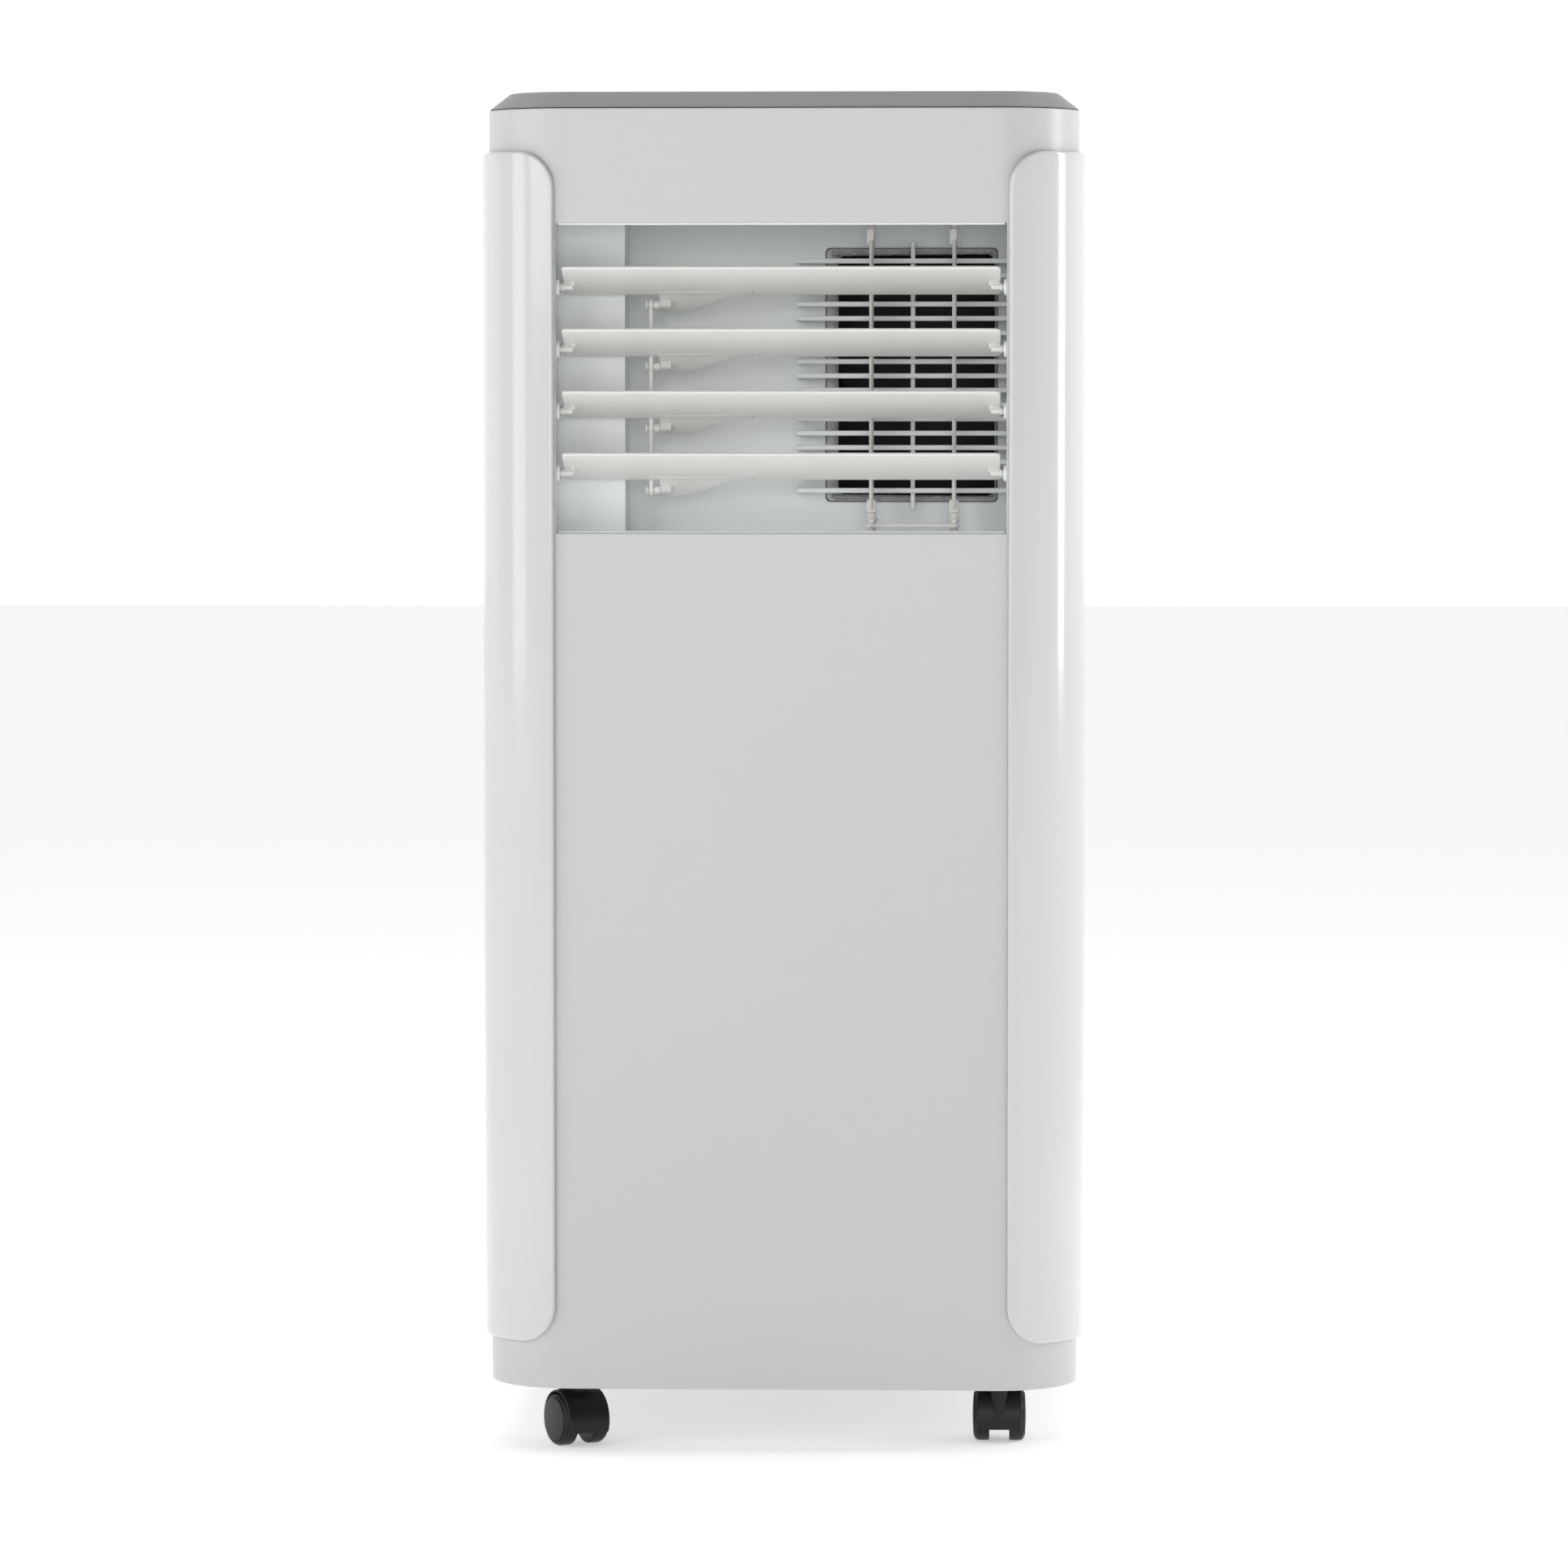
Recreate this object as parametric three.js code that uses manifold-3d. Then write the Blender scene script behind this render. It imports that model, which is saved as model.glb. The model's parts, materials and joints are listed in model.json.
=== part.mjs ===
// Portable air conditioner on four swivel casters, in millimetres, +Z up.
// The origin is on the floor under the middle of the casing. The front faces -Y.
import * as THREE from 'three';
import { mergeVertices } from 'three/addons/utils/BufferGeometryUtils.js';
import Module from 'manifold-3d';

const wasm = await Module();
wasm.setup();

// ---- driving sizes of the casing ----
const bodyWidth = 304;
const bodyDepth = 326;
const bodyTop = 696;
const wheelRadius = 13.5;
const shellBottom = 2 * wheelRadius + 4;
const cornerRadius = 43;
const wall = 2.4;
const gap = 0.3;
const chamferRise = 8.5;
const chamferInset = 11;
const frontShellDepth = 96;
const coverPlate = 3;
const coverSkirt = 3;
const cornerSteps = 6;

const halfWidth = bodyWidth / 2;
const halfDepth = bodyDepth / 2;
const shellTop = bodyTop - chamferRise;
const seam = -halfDepth + frontShellDepth;
const fromFront = (depth) => -halfDepth + depth;
const rad = THREE.MathUtils.degToRad;

// ---- corner pillars, trim covers that stand proud of the casing ----
const pillarProud = 3.5;
const pillarReach = 35.6;
const pillarSideDepth = 90;
const pillarBottom = shellBottom + 24;
const pillarTop = bodyTop - 30.5;
const pillarCorner = 19;

// ---- air outlet window and the recess behind it ----
const windowWidth = bodyWidth - 73.6;
const windowTop = bodyTop - 67;
const windowHeight = 158;
const windowBottom = windowTop - windowHeight;
const windowHalf = windowWidth / 2;
const recessSide = 0.6;
const recessRoom = 5;
const recessWall = 2;
const recessDepth = 62;
const motorCoverDepth = 30;
const motorCoverWidth = 34.5;
const mouthLeft = 21;
const mouthRight = windowHalf - 5.2;
const mouthBottom = windowBottom + 15.2;
const mouthTop = windowTop - 11.5;
const mouthCorner = 2.5;
const recessHalf = windowHalf + recessSide;
const recessTop = windowTop + recessRoom;
const recessBottom = windowBottom - 1;
const motorCoverRight = -recessHalf + motorCoverWidth;

// ---- tilting louvres ----
const louvreCount = 4;
const louvrePitch = 31.6;
const topPivotHeight = windowTop - 32.6;
const pivotDepth = 10;
const louvreEndGap = 3.4;
const louvreHalf = windowHalf - louvreEndGap;
const bossGap = 1.6;
const pivotBossRadius = 4.2;
const pinRibWidth = 6.2;
const louvreChord = louvrePitch - 0.5;
const louvreThickness = 1.8;
const pivotOffset = 4.5;
const louvreSlope = 22;
const pinRadius = 1.5;
const pinClearance = 0.4;
const linkX = motorCoverRight + 13.5;
const fingerX = linkX + 4.4;
const fingerTipX = linkX + 10.3;
const fingerEndX = linkX + 52.8;
const fingerThickness = 1.6;
const fingerDrop = 8.6;
const fingerSlope = 40;
const crankBack = 19;
const crankDown = 8.8;
const pinHeadRadius = pinRadius + 0.8;
const pinHeadDepth = 1.2;
const linkThickness = 2.1;
const linkWidth = 4.6;

// ---- vertical vanes and the fixed grille behind them ----
const vanePitch = 42.6;
const vaneMiddle = (mouthLeft + mouthRight) / 2 + 1;
const vaneX = [vaneMiddle - vanePitch / 2, vaneMiddle + vanePitch / 2];
const vaneDepth = 39;
const vaneChord = 19;
const vaneThickness = 2.2;
const vaneBottom = windowBottom + 12;
const vaneTop = windowTop - 8;
const vaneHubRadius = 2.4;
const vaneCrank = 7.5;
const vanePinRadius = 1.2;
const vaneCrankHalf = 1.5;
const vaneCrankThickness = 1.8;
const vaneLinkHeight = windowBottom + 3.5;
const vaneLinkThickness = 1.9;
const vaneLinkHalf = 1.3;
const vaneEyeRadius = 3;
const ribCount = 17;
const ribPitch = 7.4;
const topRibHeight = windowTop - 18.4;
const ribHeight = 2.6;
const ribDepth = 4.5;
const ribLeft = mouthLeft - 14.8;
const ribLeg = 2.8;
const ribFront = 51;
const mullionX = vaneMiddle - 0.3;
const mullionWidth = 2.3;
const mullionAbove = 10.2;
const mullionBelow = 2.3;
const swingMotorRadius = 14;
const swingMotorDepth = 20;
const swingShaft = { radius: 3, length: 5 };

// ---- casters ----
const casterX = halfWidth - 40;
const casterInset = 26.5;
const casterTrail = 11;
const wheelInner = 5.15;
const wheelOuter = 13.85;
const wheelClearance = 0.6;
const axleRadius = 2;
const hoodRadius = wheelRadius + 1.7;
const hoodHalfWidth = 11.7;
const hoodClearance = 5.5;
const stemRadius = 4;
const bossWall = 0.6;
const panBottom = shellBottom + 2;
const panTop = panBottom + 3;
const panRim = 5;
const socketTop = panTop + 20;
const socketWall = 3;
const stemTop = socketTop - 2;
const casterTurns = { front_left: 211, front_right: 0, rear_left: 24, rear_right: -17 };

// ---- control panel on the top cover ----
const panelWidth = bodyWidth - 114;
const panelDepth = 50;
const panelFromFront = 30;
const panelThickness = 2.4;
const panelSink = 1;
const panelCorner = 8;
const panelCornerSteps = 3;
const lensWidth = 46;
const lensDepth = 18;
const buttonRadius = 5;
const buttonClearance = 0.4;
const buttonPitch = (panelWidth - lensWidth) * 7 / 48;
const buttonFlange = 1.4;
const boardDrop = 6.5;
const boardThickness = 1.6;
const boardInset = { x: 8, y: 5 };
const buttonNames = ['power', 'mode', 'fan_speed', 'temp_down', 'temp_up', 'timer'];
const buttonProud = 0.8;

// ---- openings in the rear shell ----
const intakeWidth = bodyWidth - 104;
const upperIntake = { bottom: bodyTop - 250, top: bodyTop - 76 };
const lowerIntake = { bottom: 70, top: 200 };
const cassetteClearance = 0.6;
const cassetteLip = 4;
const cassetteLipTop = 2.2;
const cassetteRim = 7;
const cassetteMullion = 3;
const cassetteDepth = 12;
const slotPitch = 11;
const slotHeight = 6.6;
const exhaustRadius = 62;
const exhaustX = halfWidth - cornerRadius - exhaustRadius - 3;
const exhaustHeight = 315;
const exhaustWall = 2;
const flangeReach = 6;
const rearProud = 2.8;
const flangeTop = rearProud - 0.6;
const glandRadius = 8;
const cordHoleRadius = 4;
const glandX = -halfWidth + 54;
const glandHeight = 250;
const drainX = glandX;
const trayHeight = bodyTop - 284;
const upperDrainHeight = trayHeight + 12;
const lowerDrainHeight = shellBottom + 15;
const drainRadius = 6;
const grip = { y: 40, height: bodyTop - 121, length: 92, width: 30, depth: 20, wall: 2 };

// ---- machinery ----
const blowerRadius = 58;
const bladeCount = 12;
const blowerWall = 2;
const blowerPlay = 8;
const blowerMotorRadius = 34;
const blowerMotorLength = 35;
const blowerShaft = { radius: 4, length: 46 };
const hubThickness = 3;
const ductFront = halfDepth - 77;
const compressor = { x: halfWidth - 74, y: -20, radius: 52, bottom: 62, top: 212 };
const foot = { circle: 58, radius: 9, studRadius: 3.8, hole: 4.2, angles: [90, 210, 330] };
const accumulator = { x: compressor.x - 74, y: -20, radius: 18, bottom: 70, top: 180, neck: 6 };
const coil = { width: bodyWidth - 94, front: halfDepth - 63, back: halfDepth - 28, bendPitch: 50, tube: 4.5 };
const evaporator = { bottom: trayHeight + 20, top: bodyTop - 66 };
const condenser = { bottom: 62, top: 205 };
const controlBox = {
  left: -halfWidth + 6, right: -halfWidth + 44, front: fromFront(45), back: fromFront(135), bottom: 80, top: 215,
};
const pipes = { discharge: 4, suction: 5, capillary: 1.6 };

const whitePlastic = new THREE.MeshStandardMaterial({ color: 0xe6e8e8, roughness: 0.45 });
const glossWhite = new THREE.MeshStandardMaterial({ color: 0xf2f3f3, roughness: 0.18 });
const warmWhite = new THREE.MeshStandardMaterial({ color: 0xe4e2dc, roughness: 0.42 });
const greyPlastic = new THREE.MeshStandardMaterial({ color: 0xa9a8a6, roughness: 0.5 });
const blackPlastic = new THREE.MeshStandardMaterial({ color: 0x161617, roughness: 0.45 });
const darkLens = new THREE.MeshStandardMaterial({ color: 0x101216, roughness: 0.1 });
const rubber = new THREE.MeshStandardMaterial({ color: 0x202020, roughness: 0.8 });
const blackPaint = new THREE.MeshStandardMaterial({ color: 0x1b1b1d, roughness: 0.4, metalness: 0.2 });
const copper = new THREE.MeshStandardMaterial({ color: 0xb56a3c, roughness: 0.3, metalness: 1 });
const finMetal = new THREE.MeshStandardMaterial({ color: 0xb9bcc0, roughness: 0.35, metalness: 0.9 });
const zincSteel = new THREE.MeshStandardMaterial({ color: 0x9ea2a6, roughness: 0.4, metalness: 0.9 });
const boardGreen = new THREE.MeshStandardMaterial({ color: 0x1d5b36, roughness: 0.5 });

const parts = new THREE.Group();

// A closed geometry as a solid that can be joined and cut.
function solidOf(geometry) {
  geometry.deleteAttribute('normal');
  geometry.deleteAttribute('uv');
  const merged = mergeVertices(geometry, 1e-4);
  const index = merged.index.array;
  const kept = [];
  for (let i = 0; i < index.length; i += 3) {
    const [a, b, c] = [index[i], index[i + 1], index[i + 2]];
    if (a !== b && b !== c && c !== a) kept.push(a, b, c);
  }
  const vertProperties = new Float32Array(merged.attributes.position.array);
  const triVerts = new Uint32Array(kept);
  return new wasm.Manifold(new wasm.Mesh({ numProp: 3, vertProperties, triVerts }));
}

// A solid as a named mesh in the given group.
function addPart(name, solid, material, group = parts) {
  const mesh = solid.getMesh();
  const geometry = new THREE.BufferGeometry();
  geometry.setAttribute('position', new THREE.BufferAttribute(mesh.vertProperties, 3));
  geometry.setIndex(new THREE.BufferAttribute(mesh.triVerts, 1));
  geometry.computeVertexNormals();
  const part = new THREE.Mesh(geometry, material);
  part.name = name;
  group.add(part);
  return part;
}

function joined(solids) {
  return solids.reduce((whole, solid) => whole.add(solid));
}

function box(x0, x1, y0, y1, z0, z1) {
  const geometry = new THREE.BoxGeometry(x1 - x0, y1 - y0, z1 - z0);
  geometry.translate((x0 + x1) / 2, (y0 + y1) / 2, (z0 + z1) / 2);
  return solidOf(geometry);
}

// Cylinders along each axis, from one end to the other.
function cylinderZ(radius, x, y, z0, z1, sides = 20) {
  const geometry = new THREE.CylinderGeometry(radius, radius, z1 - z0, sides);
  geometry.rotateX(Math.PI / 2);
  geometry.translate(x, y, (z0 + z1) / 2);
  return solidOf(geometry);
}

function cylinderY(radius, x, z, y0, y1, sides = 20) {
  const geometry = new THREE.CylinderGeometry(radius, radius, y1 - y0, sides);
  geometry.translate(x, (y0 + y1) / 2, z);
  return solidOf(geometry);
}

function cylinderX(radius, y, z, x0, x1, sides = 16) {
  const geometry = new THREE.CylinderGeometry(radius, radius, x1 - x0, sides);
  geometry.rotateZ(Math.PI / 2);
  geometry.translate((x0 + x1) / 2, y, z);
  return solidOf(geometry);
}

// Outlines in plan, extruded up; in front view (x, z), extruded back; in side view (y, z), across.
function extrudeZ(shape, z0, z1, curveSegments = 6) {
  const geometry = new THREE.ExtrudeGeometry(shape, { depth: z1 - z0, bevelEnabled: false, curveSegments });
  geometry.translate(0, 0, z0);
  return solidOf(geometry);
}

function extrudeY(shape, y0, y1, curveSegments = 6) {
  const geometry = new THREE.ExtrudeGeometry(shape, { depth: y1 - y0, bevelEnabled: false, curveSegments });
  geometry.rotateX(Math.PI / 2);
  geometry.translate(0, y1, 0);
  return solidOf(geometry);
}

const acrossX = new THREE.Matrix4().makeBasis(
  new THREE.Vector3(0, 1, 0), new THREE.Vector3(0, 0, 1), new THREE.Vector3(1, 0, 0));

function extrudeX(shape, x0, x1, curveSegments = 6) {
  const geometry = new THREE.ExtrudeGeometry(shape, { depth: x1 - x0, bevelEnabled: false, curveSegments });
  geometry.applyMatrix4(acrossX);
  geometry.translate(x0, 0, 0);
  return solidOf(geometry);
}

function roundedRect(x0, x1, y0, y1, radius) {
  const shape = new THREE.Shape();
  shape.moveTo(x0 + radius, y0);
  shape.lineTo(x1 - radius, y0);
  shape.absarc(x1 - radius, y0 + radius, radius, -Math.PI / 2, 0, false);
  shape.lineTo(x1, y1 - radius);
  shape.absarc(x1 - radius, y1 - radius, radius, 0, Math.PI / 2, false);
  shape.lineTo(x0 + radius, y1);
  shape.absarc(x0 + radius, y1 - radius, radius, Math.PI / 2, Math.PI, false);
  shape.lineTo(x0, y0 + radius);
  shape.absarc(x0 + radius, y0 + radius, radius, Math.PI, 1.5 * Math.PI, false);
  return shape;
}

// The casing's plan outline, set in by some distance.
function bodyPlan(inset) {
  const [w, d] = [halfWidth - inset, halfDepth - inset];
  return roundedRect(-w, w, -d, d, cornerRadius - inset);
}

const bodySlab = (inset, z0, z1) => extrudeZ(bodyPlan(inset), z0, z1, cornerSteps);
const bodyRing = (inset, thickness, z0, z1) =>
  bodySlab(inset, z0, z1).subtract(bodySlab(inset + thickness, z0 - 1, z1 + 1));
const everything = 1000;
const inFrontOf = (y) => box(-everything, everything, -everything, y, -everything, everything);
const behind = (y) => box(-everything, everything, y, everything, -everything, everything);

// ---- casing ----
function frontPanel() {
  const shell = bodyRing(0, wall, shellBottom, shellTop - gap).intersect(inFrontOf(seam - gap / 2));
  const opening = box(-windowHalf, windowHalf, -halfDepth - 1, fromFront(wall + 1), windowBottom, windowTop);
  return shell.subtract(opening);
}

const intakeOpening = (intake) =>
  box(-intakeWidth / 2, intakeWidth / 2, halfDepth - wall - 1, halfDepth + 1, intake.bottom, intake.top);

function gripCut(clearance) {
  const half = grip.length / 2 + clearance;
  const rise = grip.width / 2 + clearance;
  return box(-everything, everything, grip.y - half, grip.y + half, grip.height - rise, grip.height + rise);
}

function rearPanel() {
  const shell = bodyRing(0, wall, shellBottom, shellTop - gap).intersect(behind(seam + gap / 2));
  const through = [halfDepth - wall - 1, halfDepth + 1];
  const cuts = [
    intakeOpening(upperIntake),
    intakeOpening(lowerIntake),
    cylinderY(exhaustRadius + 2 * gap, exhaustX, exhaustHeight, ...through, 24),
    cylinderY(glandRadius + gap, glandX, glandHeight, ...through),
    cylinderY(drainRadius + gap, drainX, upperDrainHeight, ...through),
    cylinderY(drainRadius + gap, drainX, lowerDrainHeight, ...through),
    gripCut(gap),
  ];
  return cuts.reduce((left, cut) => left.subtract(cut), shell);
}

// The top cover is a shallow cap whose edge slopes in all round.
function chamferedSlab(inset, z0, z1) {
  const rise = z1 - z0;
  const lower = bodyPlan(inset).getPoints(cornerSteps);
  const upper = bodyPlan(inset + chamferInset * (rise / chamferRise)).getPoints(cornerSteps);
  const count = lower.length;
  const positions = [];
  lower.forEach((point) => positions.push(point.x, point.y, z0));
  upper.forEach((point) => positions.push(point.x, point.y, z1));
  positions.push(0, 0, z0, 0, 0, z1);
  const index = [];
  for (let i = 0; i < count; i += 1) {
    const next = (i + 1) % count;
    index.push(i, next, count + i, next, count + next, count + i);
    index.push(2 * count, next, i, 2 * count + 1, count + i, count + next);
  }
  const geometry = new THREE.BufferGeometry();
  geometry.setAttribute('position', new THREE.Float32BufferAttribute(positions, 3));
  geometry.setIndex(index);
  return solidOf(geometry);
}

const panelY = fromFront(panelFromFront + panelDepth / 2);
const panelRect = (clearance) => roundedRect(
  -panelWidth / 2 - clearance, panelWidth / 2 + clearance,
  panelY - panelDepth / 2 - clearance, panelY + panelDepth / 2 + clearance, panelCorner);

function topCover() {
  const cap = chamferedSlab(0, shellTop, bodyTop);
  const hollow = chamferedSlab(coverSkirt, shellTop - 0.01, bodyTop - coverPlate);
  const panelHole = extrudeZ(panelRect(gap), shellTop - 1, bodyTop + 1, panelCornerSteps);
  const locatingRib = bodyRing(wall + gap, 2, shellTop - 6, shellTop + 1);
  return cap.subtract(hollow).subtract(panelHole).add(locatingRib);
}

const buttonX = (i) => {
  const side = i < buttonNames.length / 2 ? -1 : 1;
  const step = side < 0 ? buttonNames.length / 2 - 1 - i : i - buttonNames.length / 2;
  return side * (lensWidth / 2 + buttonPitch * 0.75 + step * buttonPitch);
};
const panelTopHeight = bodyTop - panelSink;

function controlPanel() {
  const plate = extrudeZ(panelRect(0), panelTopHeight - panelThickness, panelTopHeight, panelCornerSteps);
  const z = [panelTopHeight - panelThickness - 1, panelTopHeight + 1];
  const lensHole = box(-lensWidth / 2 - gap, lensWidth / 2 + gap,
    panelY - lensDepth / 2 - gap, panelY + lensDepth / 2 + gap, ...z);
  const holes = buttonNames.map((name, i) =>
    cylinderZ(buttonRadius + buttonClearance, buttonX(i), panelY, ...z, 16));
  return holes.reduce((left, hole) => left.subtract(hole), plate.subtract(lensHole));
}

// A pillar follows the casing's front corner, from the front face round to the side.
function pillar(side) {
  const band = bodySlab(-pillarProud, pillarBottom, pillarTop).subtract(
    bodySlab(-gap, pillarBottom - 1, pillarTop + 1));
  const inner = halfWidth - pillarReach;
  const outer = halfWidth + pillarProud + 5;
  const mask = new THREE.Shape();
  mask.moveTo(outer, pillarBottom);
  mask.lineTo(outer, pillarTop);
  mask.lineTo(inner + pillarCorner, pillarTop);
  mask.absarc(inner + pillarCorner, pillarTop - pillarCorner, pillarCorner, Math.PI / 2, Math.PI, false);
  mask.lineTo(inner, pillarBottom + pillarCorner);
  mask.absarc(inner + pillarCorner, pillarBottom + pillarCorner, pillarCorner,
    Math.PI, 1.5 * Math.PI, false);
  const front = extrudeY(mask, -halfDepth - 20, fromFront(pillarSideDepth), 7);
  const right = band.intersect(front);
  return side > 0 ? right : right.mirror([1, 0, 0]);
}

function gripCup(side) {
  const outside = halfWidth;
  const half = grip.length / 2;
  const rise = grip.width / 2;
  const cup = box(outside - grip.depth, outside, grip.y - half, grip.y + half,
    grip.height - rise, grip.height + rise);
  const room = box(outside - grip.depth + grip.wall, outside + 1, grip.y - half + grip.wall,
    grip.y + half - grip.wall, grip.height - rise + grip.wall, grip.height + rise - grip.wall);
  const right = cup.subtract(room);
  return side > 0 ? right : right.mirror([1, 0, 0]);
}

// ---- outlet recess ----
const pivotHeights = Array.from({ length: louvreCount }, (_, i) => topPivotHeight - i * louvrePitch);
const pivotBossInner = louvreHalf + bossGap;

function mouthShape(grow) {
  return roundedRect(mouthLeft - grow, mouthRight + grow, mouthBottom - grow, mouthTop + grow, mouthCorner);
}

function outletRecess() {
  const front = fromFront(wall + gap);
  const back = fromFront(recessDepth + recessWall);
  const outside = box(-recessHalf - recessWall, recessHalf + recessWall, front, back,
    recessBottom - recessWall, recessTop + recessWall).intersect(
    bodySlab(wall + gap, recessBottom - recessWall - 1, recessTop + recessWall + 1));
  const room = box(-recessHalf, recessHalf, front - 1, fromFront(recessDepth), recessBottom, recessTop);
  const cover = box(-recessHalf - 1, motorCoverRight, fromFront(motorCoverDepth), back,
    recessBottom - 1, recessTop + 1);
  const behindCover = box(-recessHalf, motorCoverRight - recessWall,
    fromFront(motorCoverDepth + recessWall), back + 1, recessBottom, recessTop);
  const mouth = extrudeY(mouthShape(0), fromFront(recessDepth - 1), back + 1, 3);
  let tub = outside.subtract(room).add(cover).subtract(behindCover).subtract(mouth);
  for (const height of pivotHeights) {
    for (const side of [-1, 1]) {
      const [a, b] = [side * pivotBossInner, side * (recessHalf + recessWall / 2)];
      const [x0, x1] = [Math.min(a, b), Math.max(a, b)];
      const y = fromFront(pivotDepth);
      tub = tub.add(cylinderX(pivotBossRadius, y, height, x0, x1, 12));
      tub = tub.subtract(cylinderX(pinRadius + pinClearance, y, height, x0 - 0.5, x1 + 0.5, 8));
    }
  }
  for (const x of vaneX) {
    const y = fromFront(vaneDepth);
    const hole = cylinderZ(vaneHubRadius + pinClearance, x, y, recessBottom - 5, recessTop + 5, 12);
    tub = tub.subtract(hole);
  }
  return tub;
}

// ---- louvres: the blade's flat runs from its front edge down to its rear edge ----
const slope = rad(louvreSlope);
const alongBlade = { y: Math.cos(slope), z: -Math.sin(slope) };
const bladeNormal = { y: Math.sin(slope), z: Math.cos(slope) };

// A point on the blade, s along it from the pivot's foot and n above its middle plane.
function bladePoint(height, s, n) {
  const lift = n + pivotOffset;
  return new THREE.Vector2(
    fromFront(pivotDepth) + s * alongBlade.y + lift * bladeNormal.y,
    height + s * alongBlade.z + lift * bladeNormal.z);
}

function bladeSection(height) {
  const [half, t] = [louvreChord / 2, louvreThickness / 2];
  const points = [[-half + t, -t], [half - 1, -t], [half, -t + 0.7], [half, t - 0.7], [half - 1, t],
    [-half + t, t], [-half + 0.25 * t, t * 0.75], [-half, 0], [-half + 0.25 * t, -t * 0.75]];
  return new THREE.Shape(points.map(([s, n]) => bladePoint(height, s, n)));
}

// The finger's lower outline, a half-cosine sweep from its tip back to the blade's edge.
function fingerShape() {
  const steepLength = 1 / Math.sin(rad(fingerSlope));
  const root = -5;
  const shape = new THREE.Shape();
  shape.moveTo(fingerEndX, root);
  shape.lineTo(fingerX, root);
  shape.lineTo(fingerX, fingerDrop * steepLength * 0.72);
  shape.quadraticCurveTo(fingerX + 1, fingerDrop * steepLength, fingerTipX, fingerDrop * steepLength);
  const steps = 7;
  for (let i = 1; i <= steps; i += 1) {
    const u = i / steps;
    const x = fingerTipX + (fingerEndX - fingerTipX) * u;
    shape.lineTo(x, fingerDrop * steepLength * 0.5 * (1 + Math.cos(Math.PI * u)));
  }
  return shape;
}

function finger(height) {
  const geometry = new THREE.ExtrudeGeometry(fingerShape(),
    { depth: fingerThickness, bevelEnabled: false, curveSegments: 4 });
  geometry.translate(0, 0, -fingerThickness / 2);
  const steep = rad(fingerSlope);
  const basis = new THREE.Matrix4().makeBasis(
    new THREE.Vector3(1, 0, 0),
    new THREE.Vector3(0, Math.cos(steep), -Math.sin(steep)),
    new THREE.Vector3(0, Math.sin(steep), Math.cos(steep)));
  geometry.applyMatrix4(basis);
  const edge = bladePoint(height, louvreChord / 2, -louvreThickness / 2 - gap - fingerThickness / 2);
  geometry.translate(0, edge.x, edge.y);
  return solidOf(geometry);
}

// A short rib on the blade's underside that carries a pin.
function pinRib(height, x0, x1, pinY, pinZ, s) {
  const [a, b] = [bladePoint(height, s - 2.2, 0), bladePoint(height, s + 2.2, 0)];
  const shape = new THREE.Shape([
    a, b, new THREE.Vector2(pinY + pinRadius, pinZ), new THREE.Vector2(pinY, pinZ - pinRadius),
    new THREE.Vector2(pinY - pinRadius, pinZ)]);
  return extrudeX(shape, x0, x1);
}

function crankPin(height) {
  return { y: fromFront(pivotDepth) + crankBack, z: height - crankDown };
}

function louvre(height) {
  const y = fromFront(pivotDepth);
  const pinReach = recessHalf - 0.4;
  const pieces = [extrudeX(bladeSection(height), -louvreHalf, louvreHalf), finger(height)];
  for (const side of [-1, 1]) {
    const [a, b] = [side * (louvreHalf - pinRibWidth), side * pinReach];
    pieces.push(cylinderX(pinRadius, y, height, Math.min(a, b), Math.max(a, b), 8));
    const [c, d] = [side * (louvreHalf - pinRibWidth), side * (louvreHalf - 0.2)];
    pieces.push(pinRib(height, Math.min(c, d), Math.max(c, d), y, height, 0));
  }
  const crank = crankPin(height);
  const headX = linkX - linkThickness / 2 - gap;
  pieces.push(cylinderX(pinRadius, crank.y, crank.z, headX - 1, fingerTipX, 8));
  pieces.push(cylinderX(pinHeadRadius, crank.y, crank.z, headX - pinHeadDepth, headX, 8));
  pieces.push(pinRib(height, fingerX, fingerTipX, crank.y, crank.z, louvreChord / 2 - 1));
  pieces.push(extrudeX(new THREE.Shape([
    bladePoint(height, louvreChord / 2 - 5, 0), bladePoint(height, louvreChord / 2 - 0.6, 0),
    bladePoint(height, louvreChord / 2 - 0.6, -3), bladePoint(height, louvreChord / 2 - 4, -2.2),
  ]), fingerX, fingerEndX - 8));
  return joined(pieces);
}

function louvreLink() {
  const top = crankPin(pivotHeights[0]);
  const bottom = crankPin(pivotHeights[louvreCount - 1]);
  const [x0, x1] = [linkX - linkThickness / 2, linkX + linkThickness / 2];
  const half = linkWidth / 2;
  let bar = box(x0, x1, top.y - half, top.y + half, bottom.z - 3, top.z + 3);
  for (const height of pivotHeights) {
    const crank = crankPin(height);
    bar = bar.add(cylinderX(half + 0.5, crank.y, crank.z, x0, x1, 10));
    bar = bar.subtract(cylinderX(pinRadius + pinClearance, crank.y, crank.z, x0 - 1, x1 + 1, 8));
  }
  return bar;
}

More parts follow.
